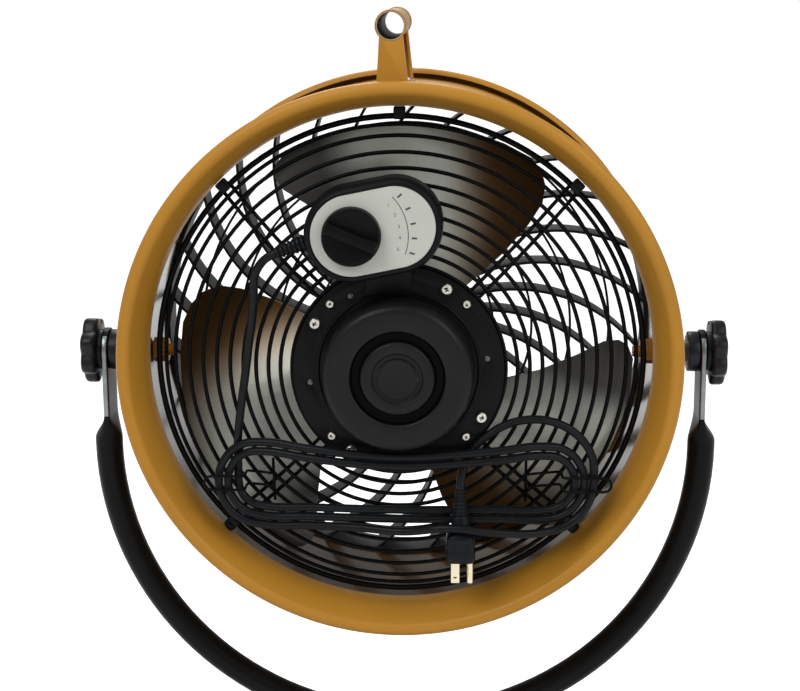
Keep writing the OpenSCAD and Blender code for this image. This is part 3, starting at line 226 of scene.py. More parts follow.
def make_finishes(look):
    """Every finish of the fan, by name: colour, roughness and what else sets it apart."""
    recipes = {
        "amber_enamel": (look.amber, 0.42, dict(specular=0.2, mottle=(9, 0.05), grain=(420, 0.10, 0.0004))),
        # Painted shade inside the drum and the bead's curl, a darker copy of the amber enamel
        "amber_inside": (look.amber_inside, 0.15, dict(specular=0.40, mottle=(9, 0.08), rough_spread=0.03,
                                                       grain=(420, 0.02, 0.0003))),
        "black_enamel": (look.black, 0.36, dict(specular=0.08, mottle=(40, 0.2), grain=(700, 0.12, 0.0003))),
        "motor_black": ((0.0095, 0.0098, 0.0095), 0.36, dict(specular=0.12, mottle=(30, 0.15),
                                                             grain=(900, 0.10, 0.0002))),
        # Painted shade in the motor cover's well
        "well_painted_shade": ((0.0012, 0.0012, 0.0014), 0.5, dict(specular=0.05, mottle=(30, 0.15))),
        "pole_black": (look.black, 0.26, dict(specular=0.2, mottle=(40, 0.2))),
        "guard_black": ((0.0022, 0.0022, 0.0022), 0.34, dict(specular=0.06, mottle=(60, 0.2))),
        "vane_black": ((0.045, 0.044, 0.041), 0.55, dict(specular=0.10, mottle=(30, 0.2))),
        # Painted shade in the carrying tube's bore
        "bore_painted_shade": ((0.045, 0.036, 0.038), 0.5, dict(specular=0.12, mottle=(30, 0.2))),
        # Painted highlight: grey metal on the top edges of the yoke's pressed ends
        "painted_highlight_edge": ((0.20, 0.22, 0.23), 0.32, dict(metallic=0.9, mottle=(90, 0.2))),
        "rivet_grey": ((0.10, 0.10, 0.10), 0.45, dict(metallic=0.5, mottle=(90, 0.2))),
        "grip_enamel": (look.grip, 0.5, dict(specular=0.2, mottle=(20, 0.05))),
        "zinc_plate": ((0.52, 0.50, 0.46), 0.32, dict(metallic=1, mottle=(150, 0.15))),
        "yellow_plate": ((0.55, 0.23, 0.04), 0.42, dict(metallic=0.1, mottle=(150, 0.25))),
        "machined_steel": ((0.42, 0.42, 0.41), 0.35, dict(metallic=1, mottle=(120, 0.1), stretch=(1, 1, 8))),
        "moulded_black": ((0.004, 0.0045, 0.005), 0.38, dict(specular=0.09, mottle=(80, 0.15),
                                                             grain=(1500, 0.12, 0.0002))),
        "knob_black": ((0.006, 0.0072, 0.0095), 0.36, dict(specular=0.2, mottle=(80, 0.15),
                                                           grain=(1500, 0.15, 0.0002))),
        "dial_black": ((0.003, 0.003, 0.003), 0.4, dict(specular=0.08, mottle=(80, 0.15),
                                                        grain=(1800, 0.10, 0.0002))),
        "dial_plate": (look.face, 0.45, dict(mottle=(12, 0.03), grain=(1200, 0.05, 0.0002))),
        "print_grey": ((0.05, 0.055, 0.055), 0.5, dict(mottle=(200, 0.1))),
        "lead_rubber": ((0.005, 0.0058, 0.007), 0.36, dict(specular=0.12, mottle=(200, 0.2),
                                                           grain=(1400, 0.15, 0.0003))),
        "plug_plate": ((0.62, 0.55, 0.40), 0.28, dict(metallic=1, mottle=(200, 0.1))),
        "cast_weight": ((0.05, 0.05, 0.05), 0.7, dict(mottle=(60, 0.3), grain=(300, 0.5, 0.001))),
        "foot_rubber": ((0.02, 0.02, 0.02), 0.75, dict(mottle=(90, 0.2), grain=(800, 0.3, 0.0004))),
    }
    made = {name: finish(name, colour, rough, **more) for name, (colour, rough, more) in recipes.items()}
    # Each blade's metal gets a painted reflection of the drum at one long edge and painted shade at the other
    for k, angle in enumerate(BLADE_ANGLES, 1):
        metal = finish(f"brushed_blade_{k}", look.blade, 0.36, metallic=0.6, mottle=(60, 0.05),
                       stretch=(1, 12, 1), grain=(300, 0.04, 0.0002))
        made[f"blade_{k}"] = warm_tint(metal, look.blade_warm, angle - PAINTED_REFLECTION_ANGLE)
    return made


# Finishes of the solids that stay as they are; pieces take the place of all the others
FINISH_OF_NODE = {
    "moulded_black": ("guide_bush", "pole_slider", "dimmer"),
    "machined_steel": ("stator", "rotor_core", "shaft_bearings", "motor_shaft"),
    "plug_plate": ("plug_blades", "ground_pin"),
}
finishes = {}


# Making pieces

def piece(bm, name, coat_name, node, place=HEAD, sharp=35, slot=None, replaces=True):
    """Turns a mesh drawn in millimetres into a piece that takes over a solid's body and place; the slot it is
    given is not used.
    """
    bmesh.ops.remove_doubles(bm, verts=bm.verts, dist=1e-6 if place == AS_IS else 0.002)
    bmesh.ops.recalc_face_normals(bm, faces=bm.faces)
    bm.transform(place)
    mesh = bpy.data.meshes.new(name)
    bm.to_mesh(mesh)
    bm.free()
    mesh.shade_smooth()
    mesh.set_sharp_from_angle(angle=math.radians(sharp))
    obj = bpy.data.objects.new(name, mesh)
    bpy.context.scene.collection.objects.link(obj)
    mesh.materials.append(finishes[coat_name])
    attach(obj, BODY_OF[node])
    if replaces:
        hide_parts(node)
    return obj


def eased(node, coat_name, width=0.5, segments=2, bend=30, sharp=40):
    """A copy of a carried-over solid with its flats joined and its edges eased, in millimetres."""
    bm = bmesh.new()
    bm.from_mesh(frame["nodes"][node].data)
    bmesh.ops.remove_doubles(bm, verts=bm.verts, dist=1e-5)
    if width:
        bmesh.ops.dissolve_limit(bm, angle_limit=math.radians(1.5), verts=bm.verts, edges=bm.edges)
        hard = [e for e in bm.edges if e.is_manifold and e.calc_face_angle(0) > math.radians(bend)]
        bmesh.ops.bevel(bm, geom=hard, offset=width * MM, segments=segments, profile=0.5, affect="EDGES",
                        material=-1, clamp_overlap=True)
    return piece(bm, node + "_dressed", coat_name, node, AS_IS, sharp)


def second_coat(obj, coat_name, wanted):
    """A second finish for the faces that wanted picks by their middle on the head and their normal."""
    obj.data.materials.append(finishes[coat_name])
    for face in obj.data.polygons:
        if wanted(TO_HEAD @ face.center, face.normal):
            face.material_index = 1


def turned(bm, outline, place=AS_IS, steps=64, angle=math.tau):
    """Turns an outline of (radius, height) points about place's z axis, closed unless it starts on the axis."""
    verts = [bm.verts.new((r, 0, z)) for r, z in outline]
    edges = [bm.edges.new(p) for p in zip(verts, verts[1:] + verts[:1] if outline[0][0] else verts[1:])]
    bmesh.ops.spin(bm, geom=verts + edges, cent=(0, 0, 0), axis=(0, 0, 1), dvec=(0, 0, 0), angle=angle,
                   steps=steps, use_merge=angle >= math.tau - 1e-6, use_duplicate=False)
    grown, edge_of_growth = set(verts), list(verts)
    while edge_of_growth:
        for e in (v := edge_of_growth.pop()).link_edges:
            if (other := e.other_vert(v)) not in grown:
                grown.add(other)
                edge_of_growth.append(other)
    bmesh.ops.transform(bm, matrix=place, verts=list(grown))


def block(bm, low, high, place=AS_IS, bevel=0.0, segments=2):
    """A block between two corners, its edges rounded."""
    size = [h - l for l, h in zip(low, high)]
    middle = [(h + l) / 2 for l, h in zip(low, high)]
    drawn = len(bm.verts)
    made = bmesh.ops.create_cube(bm, size=1, matrix=Matrix.Translation(middle) @ Matrix.Diagonal((*size, 1)))
    if bevel:
        bmesh.ops.bevel(bm, geom=list({e for v in made["verts"] for e in v.link_edges}), offset=bevel,
                        segments=segments, profile=0.5, affect="EDGES", material=-1)
    bm.verts.ensure_lookup_table()
    bmesh.ops.transform(bm, matrix=place, verts=bm.verts[drawn:])


def lofted(bm, rings, outline, sides=48):
    """A closed skin through rings; outline gives the place of a side's angle on a ring."""
    loops = []
    for ring in rings:
        made = bmesh.ops.create_circle(bm, cap_ends=False, radius=1, segments=sides)
        loops.append(list({e for v in made["verts"] for e in v.link_edges}))
        for v in made["verts"]:
            v.co = outline(math.atan2(v.co.y, v.co.x), *ring)
    for a, b in zip(loops, loops[1:]):
        bmesh.ops.bridge_loops(bm, edges=[*a, *b])
    bmesh.ops.edgeloop_fill(bm, edges=loops[0])
    bmesh.ops.edgeloop_fill(bm, edges=loops[-1])


def add_mesh(bm, mesh, place=AS_IS):
    """Adds a mesh to what is drawn, moved to its place."""
    drawn = len(bm.verts)
    bm.from_mesh(mesh)
    bm.verts.ensure_lookup_table()
    bmesh.ops.transform(bm, matrix=place, verts=bm.verts[drawn:])


def repeated(part, places, bm=None):
    """Adds a part that is drawn once at every place, to bm or to a new mesh."""
    bm = bm or bmesh.new()
    mesh = bpy.data.meshes.new("part")
    part.to_mesh(mesh)
    part.free()
    for place in places:
        add_mesh(bm, mesh, place)
    bpy.data.meshes.remove(mesh)
    return bm


def spun(degrees):
    """A turn about the z axis."""
    return Matrix.Rotation(math.radians(degrees), 4, "Z")


def screw(radius, height, base, shank, shank_from):
    """A screw whose domed head with a cross recess stands on z = base."""
    bm = bmesh.new()
    top, sunk_end = base + height, base + height * 0.2
    turned(bm, [(0, shank_from), (shank, shank_from), (shank, sunk_end), (0, sunk_end)], steps=24)
    dome = ((0, 0), (1, 0), (1, 0.35), (0.96, 0.62), (0.87, 0.85), (0.74, 1))
    turned(bm, [(radius * across, base + height * up) for across, up in dome], steps=24)
    inner = [e for e in bm.edges if e.is_boundary and all(v.co.z > top - 1e-4 for v in e.verts)]
    made = bmesh.ops.create_circle(bm, cap_ends=False, radius=1, segments=12)
    far, near = 0.38 * radius, 0.13 * radius
    for k, v in enumerate(made["verts"]):
        quarter, corner = divmod(k, 3)
        x, y = ((far, -near), (far, near), (near, near))[corner]
        v.co = Matrix.Rotation(quarter * math.pi / 2, 3, "Z") @ Vector((x, y, top))
    cross = list({e for v in made["verts"] for e in v.link_edges})
    bmesh.ops.bridge_loops(bm, edges=[*inner, *cross])
    sunk = bmesh.ops.extrude_edge_only(bm, edges=cross)["geom"]
    floor_verts = [g for g in sunk if isinstance(g, bmesh.types.BMVert)]
    for v in floor_verts:
        v.co = (v.co.x * 0.6, v.co.y * 0.6, top - height * 0.35)
    bmesh.ops.edgeloop_fill(bm, edges=[g for g in sunk if isinstance(g, bmesh.types.BMEdge)
                                       and all(v in floor_verts for v in g.verts)])
    return bm


def aimed(origin, direction):
    """A place at origin whose z axis runs along direction."""
    z = Vector(direction).normalized()
    x = Vector((0, 0, 1)).cross(z).normalized()
    place = Matrix((x, z.cross(x), z)).transposed().to_4x4()
    place.translation = origin
    return place


def spun_at(radius, degrees):
    """A place on a circle round the drum's axis, its x axis outwards."""
    return spun(degrees) @ Matrix.Translation((radius, 0, 0))


def curl(cx, cz, r, start, stop, steps):
    """Points on an arc of an outline, in degrees."""
    angles = [math.radians(start + (stop - start) * k / steps) for k in range(steps + 1)]
    return [(cx + r * math.cos(a), cz + r * math.sin(a)) for a in angles]


def polar(r, a, z):
    """A point at radius r and angle a."""
    return r * math.cos(a), r * math.sin(a), z


def squarish(a, wide, deep, power):
    """A point of an oval that a smaller power makes squarer."""
    return (wide * math.copysign(abs(math.cos(a)) ** power, math.cos(a)),
            deep * math.copysign(abs(math.sin(a)) ** power, math.sin(a)))


def hexagon(a, across, z):
    """A point of a hexagon's edge at angle a."""
    r = across / 2 / math.cos((a + math.pi / 6) % (math.pi / 3) - math.pi / 6)
    return polar(r, a, z)


# Stage

class DRUMFAN_OT_stage(bpy.types.Operator):
    """Sets up the camera, the pale floor and the soft studio light"""

    bl_idname = "drumfan.stage"
    bl_label = "Stage"

    def execute(self, context):
        scene, view = context.scene, context.scene.drum_fan_view
        scene.view_settings.view_transform = "Standard"
        data = bpy.data.cameras.new("camera")
        data.lens, data.sensor_width = view.focal_length, 36
        data.shift_x, data.shift_y = -0.02, -0.05
        data.clip_start, data.clip_end = 0.05, 100
        camera = bpy.data.objects.new("camera", data)
        aim = spun(180 - math.degrees(view.yaw)) @ Matrix.Rotation(math.pi / 2 + view.pitch, 4, "X")
        camera.matrix_world = Matrix.Translation(view.camera_place) @ aim @ spun(math.degrees(view.roll))
        scene.collection.objects.link(camera)
        scene.camera = camera
        self.light_room(scene, view.daylight)
        self.lay_floor(scene)
        for name, place, size, power, target in (
            ("key_light", (1.4, 1.8, 3.2), (1.8, 1.4), 46, (0, 0, 0.95)),
            ("fill_light", (-2.0, 1.7, 2.5), (1.4, 1.8), 30, (0, 0, 0.9)),
            ("top_light", (0.1, 0.2, 3.2), (1.6, 1.6), 9, (0, 0, 0.9)),
            ("front_light", (0.3, -2.0, 3.0), (1.6, 1.6), 40, (0, 0, 0.9)),
        ):
            lamp = bpy.data.lights.new(name, "AREA")
            lamp.shape, lamp.size, lamp.size_y, lamp.energy = "RECTANGLE", *size, power
            obj = bpy.data.objects.new(name, lamp)
            obj.matrix_world = aimed(place, Vector(place) - Vector(target))
            scene.collection.objects.link(obj)
        return {"FINISHED"}

    def light_room(self, scene, strength):
        """Even light that is white to the camera and duller overhead where the fan mirrors it."""
        world = bpy.data.worlds.new("room")
        world.use_nodes = True
        tree = world.node_tree
        rays = add_node(tree, "LightPath")
        height = add_node(tree, "SeparateXYZ", {0: add_node(tree, "TexCoord")["Generated"]})["Z"]
        span = {"Value": height, "From Min": 0.02, "From Max": 0.40, "To Min": 0.65, "To Max": 0.32}
        mirrored = add_node(tree, "MapRange", span, interpolation_type="SMOOTHSTEP")["Result"]
        level = add_node(tree, "Mix", {"Factor": rays["Is Glossy Ray"], 2: strength, 3: mirrored})[0]
        level = add_node(tree, "Mix", {"Factor": rays["Is Camera Ray"], 2: level, 3: 1.0})[0]
        shade = tree.nodes["Background"].inputs
        shade["Color"].default_value = (1, 1, 1, 1)
        tree.links.new(level, shade["Strength"])
        scene.world = world

    def lay_floor(self, scene):
        """A pale floor that glows to white away from the stand and keeps the shadow near it."""
        bm = bmesh.new()
        bmesh.ops.create_grid(bm, x_segments=1, y_segments=1, size=30)
        mesh = bpy.data.meshes.new("floor")
        bm.to_mesh(mesh)
        bm.free()
        floor = bpy.data.objects.new("floor", mesh)
        scene.collection.objects.link(floor)
        mat = bpy.data.materials.new("pale_floor")
        mat.use_nodes = True
        mesh.materials.append(mat)
        tree = mat.node_tree
        rays = add_node(tree, "LightPath")
        seen = add_node(tree, "Math", {0: rays["Is Camera Ray"], 1: rays["Is Glossy Ray"]},
                        operation="MAXIMUM")[0]
        place = add_node(tree, "TexCoord")["Object"]
        far = add_node(tree, "VectorMath", {0: place}, operation="LENGTH")["Value"]
        span = {"Value": far, "From Min": 0.5, "From Max": 1.5, "To Min": 0.12, "To Max": 0.8}
        glow = add_node(tree, "MapRange", span, interpolation_type="SMOOTHSTEP")["Result"]
        level = add_node(tree, "Math", {0: seen, 1: glow}, operation="MULTIPLY")[0]
        shader = tree.nodes["Principled BSDF"].inputs
        shader["Base Color"].default_value = (0.8, 0.8, 0.8, 1)
        shader["Roughness"].default_value = 0.9
        shader["Emission Color"].default_value = (1, 1, 1, 1)
        tree.links.new(level, shader["Emission Strength"])


class DRUMFAN_OT_finishes(bpy.types.Operator):
    """Mixes the finishes and gives every solid that stays in view its own"""

    bl_idname = "drumfan.finishes"
    bl_label = "Finishes"

    def execute(self, context):
        finishes.update(make_finishes(context.scene.drum_fan_finishes))
        for name, nodes in FINISH_OF_NODE.items():
            for node in nodes:
                obj = frame["nodes"][node]
                obj.data.materials.clear()
                obj.data.materials.append(finishes[name])
        return {"FINISHED"}


# Mains lead

HOOK_Y = -90
WINDING_X, WINDING_HALF, FIRST_R, TURN_PITCH, BASE_Z = 3, 109, 19.8, 7.4, -3
TURN_STEPS, LAST_STEP = 24, 60
PLUG_X, PLUG_RELIEF_Y, PLUG_Z = 47.5, -91, 10.3
LEAD_MIDDLE = (
    (-96.7, 89.6, 19.5), (-101, 85.6, 18.5), (-104.5, 80.4, 17.1), (-106.9, 74.2, 15.4), (-107.8, 67.4, 13.4),
    (-108.3, 58, 10.8), (-109.8, 46, 7.6), (-111.6, 34, 4.8), (-113.8, 22, 2.4), (-115.8, 8, 0.6),
    (-118.2, -8, -0.9), (-120.8, -24, -2.2), (-123.2, -40, -3.9), (-125, -54, -6), (-125.8, -66, -7.6))
TAIL_MIDDLE = (
    (148.6, -69, -1.6), (143.6, -59, -1.2), (136, -50.5, -0.6), (126, -43.8, 0), (115, -39.8, 0.8),
    (103, -38.4, 1.6), (90, -39.8, 2.8), (78, -44, 4.2), (69, -49.5, 5.6), (61, -56, 6.9),
    (55.2, -63.5, 7.4), (51, -71, 8.2), (48.5, -79, 9.4))


def hump(x, centre, width):
    """A smooth swell round centre, between 0 and 1."""
    return math.exp(-(((x - centre) / width) ** 2))


def winding_point(i):
    """A point of the winding, 24 to a turn: half a turn is drawn and the other is the same, turned over."""
    half, k = divmod((i + 3) % TURN_STEPS, 12)
    r, h = FIRST_R + TURN_PITCH * i / TURN_STEPS, WINDING_HALF
    if k < 6:
        x, y = -h - r * math.cos(math.radians((k - 3) * 30)), -r * math.sin(math.radians((k - 3) * 30))
    else:
        x, y = -h + (k - 6) * h / 3, -r
    if half:
        x, y = -x, -y
    top, last, x = (1 + y / r) / 2, (1 if i > 2 * TURN_STEPS + 1 else 0), x + WINDING_X
    over = 0.5 + 0.5 * math.cos(math.pi * min(max(abs(x - 8) - 45, 0) / 110, 1))
    sag = -7.3 * hump(x, 0, 70) * top**4 + last * 9 * hump(x, 50, 28) * (1 - top)
    rise = 19 * over * top + (4 * hump(x, 0, 60) + last * 25.6 * hump(x, 57, 55)) * (1 - top)
    return Vector((x, HOOK_Y + y + sag, BASE_Z + rise - 5 * max(1 - i / 4, 0)))


def box_end():
    """Where the strain relief leaves the control box, its z axis along the lead."""
    root = BOX @ Vector((-BOX_END_R - HALF_STRAIGHT, 0, 14))
    turn = math.radians(LEAD_SLANT)
    return aimed(root, (-math.cos(turn), -math.sin(turn), 0))


def plug_place(below):
    """A place below the lead's lower end, its z axis down."""
    return aimed((PLUG_X, PLUG_RELIEF_Y - below, PLUG_Z), (0, -1, 0))


def lead_route():
    """The whole lead from the control box to the plug, in millimetres."""
    wound = [winding_point(i) for i in range(LAST_STEP + 1)]
    into = Vector((WINDING_X - WINDING_HALF - FIRST_R, HOOK_Y + 6.5, BASE_Z - 5))
    out = wound[-1] + Vector((0, 6.5, 0))
    start = box_end()
    return [start @ Vector((0, 0, 24)), start @ Vector((0, 0, 27)), *map(Vector, LEAD_MIDDLE),
            into + Vector((0, 9, 0)), into, *wound, out, out + Vector((0, 5, 0)), *map(Vector, TAIL_MIDDLE),
            Vector((PLUG_X, PLUG_RELIEF_Y + 5, PLUG_Z)), Vector((PLUG_X, PLUG_RELIEF_Y, PLUG_Z))]


class DRUMFAN_OT_mains_lead(bpy.types.Operator):
    """Winds the mains lead on its hooks and ends it in the plug"""

    bl_idname = "drumfan.mains_lead"
    bl_label = "Mains Lead"

    def execute(self, context):
        route = [HEAD @ p for p in lead_route()]
        curve = bpy.data.curves.new("mains_lead", "CURVE")
        curve.dimensions = "3D"
        curve.bevel_depth = context.scene.drum_fan_sizes.lead_diameter / 2
        curve.bevel_resolution, curve.resolution_u, curve.use_fill_caps = 5, 6, True
        spline = curve.splines.new("BEZIER")
        spline.bezier_points.add(len(route) - 1)
        for point, place in zip(spline.bezier_points, route):
            point.co, point.handle_left_type, point.handle_right_type = place, "AUTO", "AUTO"
        curve.materials.append(finishes["lead_rubber"])
        lead = bpy.data.objects.new("mains_lead", curve)
        context.scene.collection.objects.link(lead)
        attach(lead, "head")
        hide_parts("cord_lead", "cord_winding", "cord_tail")
        ends = [self.relief("box_relief", HEAD @ box_end(), 24, (6.6, 4.2), "strain_relief"),
                self.relief("plug_sleeve", HEAD @ plug_place(0), 21, (4.1, 6.3), "plug_relief"),
                self.plug(), "plug_blades", "ground_pin"]
        return {"FINISHED"}

    def relief(self, name, place, length, radii, node):
        """A tapered sleeve cut into ribs that lets the lead bend gently."""
        bm = bmesh.new()
        outline, ribs = [(0, 0), (radii[0] * 0.8, 0)], 7
        width = length / ribs
        for k in range(ribs):
            z, r = width * (k + 0.15), radii[0] + (radii[1] - radii[0]) * (k + 0.5) / ribs
            outline += [(r - 0.9, z), (r - 0.3, z + 0.12 * width), (r, z + 0.22 * width),
                        (r, z + 0.58 * width), (r - 0.3, z + 0.68 * width), (r - 0.9, z + 0.78 * width)]
        outline += [(radii[1] * 0.85, length), (0, length)]
        turned(bm, outline, steps=32)
        return piece(bm, name, "lead_rubber", node, place)

    def plug(self):
        """The moulded plug: a neck that widens into a squarish body with finger grooves."""
        bm = bmesh.new()
        rings = (
            (0, 6.4, 6.4, 1), (0.8, 7.0, 7.0, 1), (9, 7.2, 7.2, 1), (12, 8.8, 9.4, 0.8), (15, 10.6, 11.6, 0.55),
            (17.5, 11.2, 12.3, 0.45), (20, 10.7, 11.7, 0.45), (22.5, 11.3, 12.4, 0.42), (25, 10.8, 11.8, 0.42),
            (27.5, 11.4, 12.5, 0.4), (33.5, 11.5, 12.5, 0.38), (35.4, 11.2, 12.2, 0.38), (36, 10.4, 11.4, 0.38))
        lofted(bm, rings, lambda a, z, wide, deep, power: (*squarish(a, wide, deep, power), z), sides=40)
        return piece(bm, "plug_moulding", "lead_rubber", "plug_body", HEAD @ plug_place(21), 50)


# Drum and handle

def drum_hollow(r, z):
    """Whether a place on the wall is inside the drum or inside the rolled bead, where the amber gets painted
    shade.
    """
    return r < WALL_INSIDE_R + 0.2 and z > BEAD_Z + 10 or math.hypot(r - BEAD_R, z - BEAD_Z) < 4.2


class DRUMFAN_OT_drum(bpy.types.Operator):
    """Rolls the drum's wall with its front bead and fits the rear lip that curves into the inlet"""

    bl_idname = "drumfan.drum"
    bl_label = "Drum"

    def execute(self, context):
        steps = context.scene.drum_fan_sizes.round_steps
        bm = bmesh.new()
        depths = (-7, -40, -80, -120, -160, BEAD_Z - 0.5)
        turned(bm, [(WALL_INSIDE_R, z) for z in depths] + [(WALL_R, z) for z in depths[::-1]], steps=steps)
        turned(bm, curl(BEAD_R, BEAD_Z, 5, 180, 440, 22) + curl(BEAD_R, BEAD_Z, 3.5, 440, 180, 18),
               steps=steps)
        wall = piece(bm, "drum_wall", "amber_enamel", "drum_shell", sharp=60)
        # Painted shade: the wall's faces inside the drum and inside the bead's curl get the darker amber
        second_coat(wall, "amber_inside", lambda at, normal: drum_hollow(at.xy.length, at.z))
        bm = bmesh.new()
        bell = curl(THROAT_R + BELL_R, THROAT_Z, BELL_R, 180 - BELL_SWEEP * 11 / 12, 180, 11)
        back = [(r + 1.4, z) for r, z in bell[::-1]]
        outside = curl(LIP_R, LIP_Z, 6, -112, 180 - BELL_SWEEP, 26)
        turned(bm, [*outside, *bell, *back, *curl(LIP_R, LIP_Z, 4.5, 180 - BELL_SWEEP, -112, 20)], steps=steps)
        piece(bm, "drum_lip", "amber_enamel", "drum_shell", replaces=False, sharp=60)
        return {"FINISHED"}


class DRUMFAN_OT_handle(bpy.types.Operator):
    """Makes the carrying tube, its two sheet legs and their screws"""

    bl_idname = "drumfan.handle"
    bl_label = "Handle"

    def execute(self, context):
        lean = spun(HANDLE_LEAN)
        middle = (lean @ Vector((0, GRIP_HEIGHT, 0))).xy
        legs = eased("handle_legs", "amber_enamel", 0.4)
        for v in legs.data.vertices:
            away = (TO_HEAD @ v.co).xy - middle
            if 11.9 < away.length < 13.4:
                away *= (GRIP_R + (away.length - GRIP_R) * 0.4) / away.length - 1
                v.co += HEAD.to_3x3() @ away.to_3d()
        bm = bmesh.new()
        end = [(GRIP_R, 0.5), (GRIP_R - 0.15, 0.15), (GRIP_R - 0.5, 0), (BORE_R + 0.4, 0), (BORE_R + 0.1, 0.2),
               (BORE_R, 0.5)]
        turned(bm, end + [(r, GRIP_LENGTH - z) for r, z in end[::-1]],
               lean @ Matrix.Translation((0, GRIP_HEIGHT, GRIP_FRONT)), steps=72)
        tube = piece(bm, "carrying_tube", "grip_enamel", "handle_tube")
        # Painted shade: the tube's bore gets a dark brown
        second_coat(tube, "bore_painted_shade", lambda at, normal: (at.xy - middle).length < BORE_R + 0.2)
        places = [lean @ Matrix.Rotation(math.asin(x / WALL_R), 4, "Z") @ Matrix.Translation((0, WALL_R, z))
                  @ Matrix.Rotation(-math.pi / 2, 4, "X") for z in (-44, -135) for x in (-7, 7)]
        bm = repeated(screw(4, 2.2, 2.2, 2, -6), places)
        piece(bm, "leg_screws", "zinc_plate", "handle_screws")
        return {"FINISHED"}


# Guards

def guard_height(r):
    """Height of the rear guard's dome at radius r."""
    return GUARD_Z - GUARD_DOME_R + math.sqrt(GUARD_DOME_R**2 - max(r - GUARD_START, 0) ** 2)


class DRUMFAN_OT_rear_guard(bpy.types.Operator):
    """Bends the rear guard's rings, welds them to the hairpins and clips the hoop in the inlet"""

    bl_idname = "drumfan.rear_guard"
    bl_label = "Rear Guard"

    def execute(self, context):
        sizes = context.scene.drum_fan_sizes
        radii = [77.4, *LOOSE_RINGS, SECOND_HOOP_R]
        bm = bmesh.new()
        for r in radii:
            turned(bm, curl(r, guard_height(r), RING_WIRE / 2, 0, 330, 11), steps=sizes.ring_steps)
        turned(bm, curl(HOOP_R, HOOP_Z, HOOP_WIRE / 2, 0, 337.5, 15), steps=sizes.ring_steps)
        piece(bm, "guard_rings", "guard_black", "rear_rings")
        dot = bmesh.new()
        bmesh.ops.create_icosphere(dot, subdivisions=2, radius=sizes.weld / MM / 2)
        places = [spun(a) @ Matrix.Translation((math.sqrt(r * r - y * y), y, guard_height(r) - 1.5))
                  @ Matrix.Diagonal((1.1, 1.1, 0.8, 1))
                  for a in (45, 135, 225, 315) for r in radii for y in (-4, 4)]
        piece(repeated(dot, places), "guard_welds", "guard_black", "rear_rings", replaces=False)
        eased("rear_ribs", "guard_black", 0, sharp=60)
        eased("cord_hooks", "guard_black", 0, sharp=60)
        clip = bmesh.new()
        block(clip, (187.4, -4.6, HOOP_Z - 4.2), (197.1, 4.6, HOOP_Z + 4.2), bevel=1.4, segments=3)
        block(clip, (192, -3, HOOP_Z + 3.4), (197, 3, HOOP_Z + 6.2), bevel=1.0)
        places = [spun(a) for a in (45, 90, 135, 225, 315)]
        piece(repeated(clip, places), "hoop_clips", "moulded_black", "guard_clips")
        return {"FINISHED"}


class DRUMFAN_OT_front_guard(bpy.types.Operator):
    """Dresses the spiral vanes, their rings and the plain disc at their middle"""

    bl_idname = "drumfan.front_guard"
    bl_label = "Front Guard"

    def execute(self, context):
        eased("front_vanes", "vane_black", 0.35, segments=1, bend=50)
        eased("front_rings", "vane_black", 0.4, segments=2, bend=50)
        bm = bmesh.new()
        turned(bm, [(0, -200), (38, -200), (41, -199.7), (43.8, -199), (44.7, -198.3), (45, -197.6), (45, -197),
                    (44, -196.9), (0, -196.9)], steps=96)
        turned(bm, curl(33, -199.9, 1.0, 0, 180, 8), steps=96)
        piece(bm, "guard_disc", "vane_black", "front_badge")
        return {"FINISHED"}


# Motor and blades

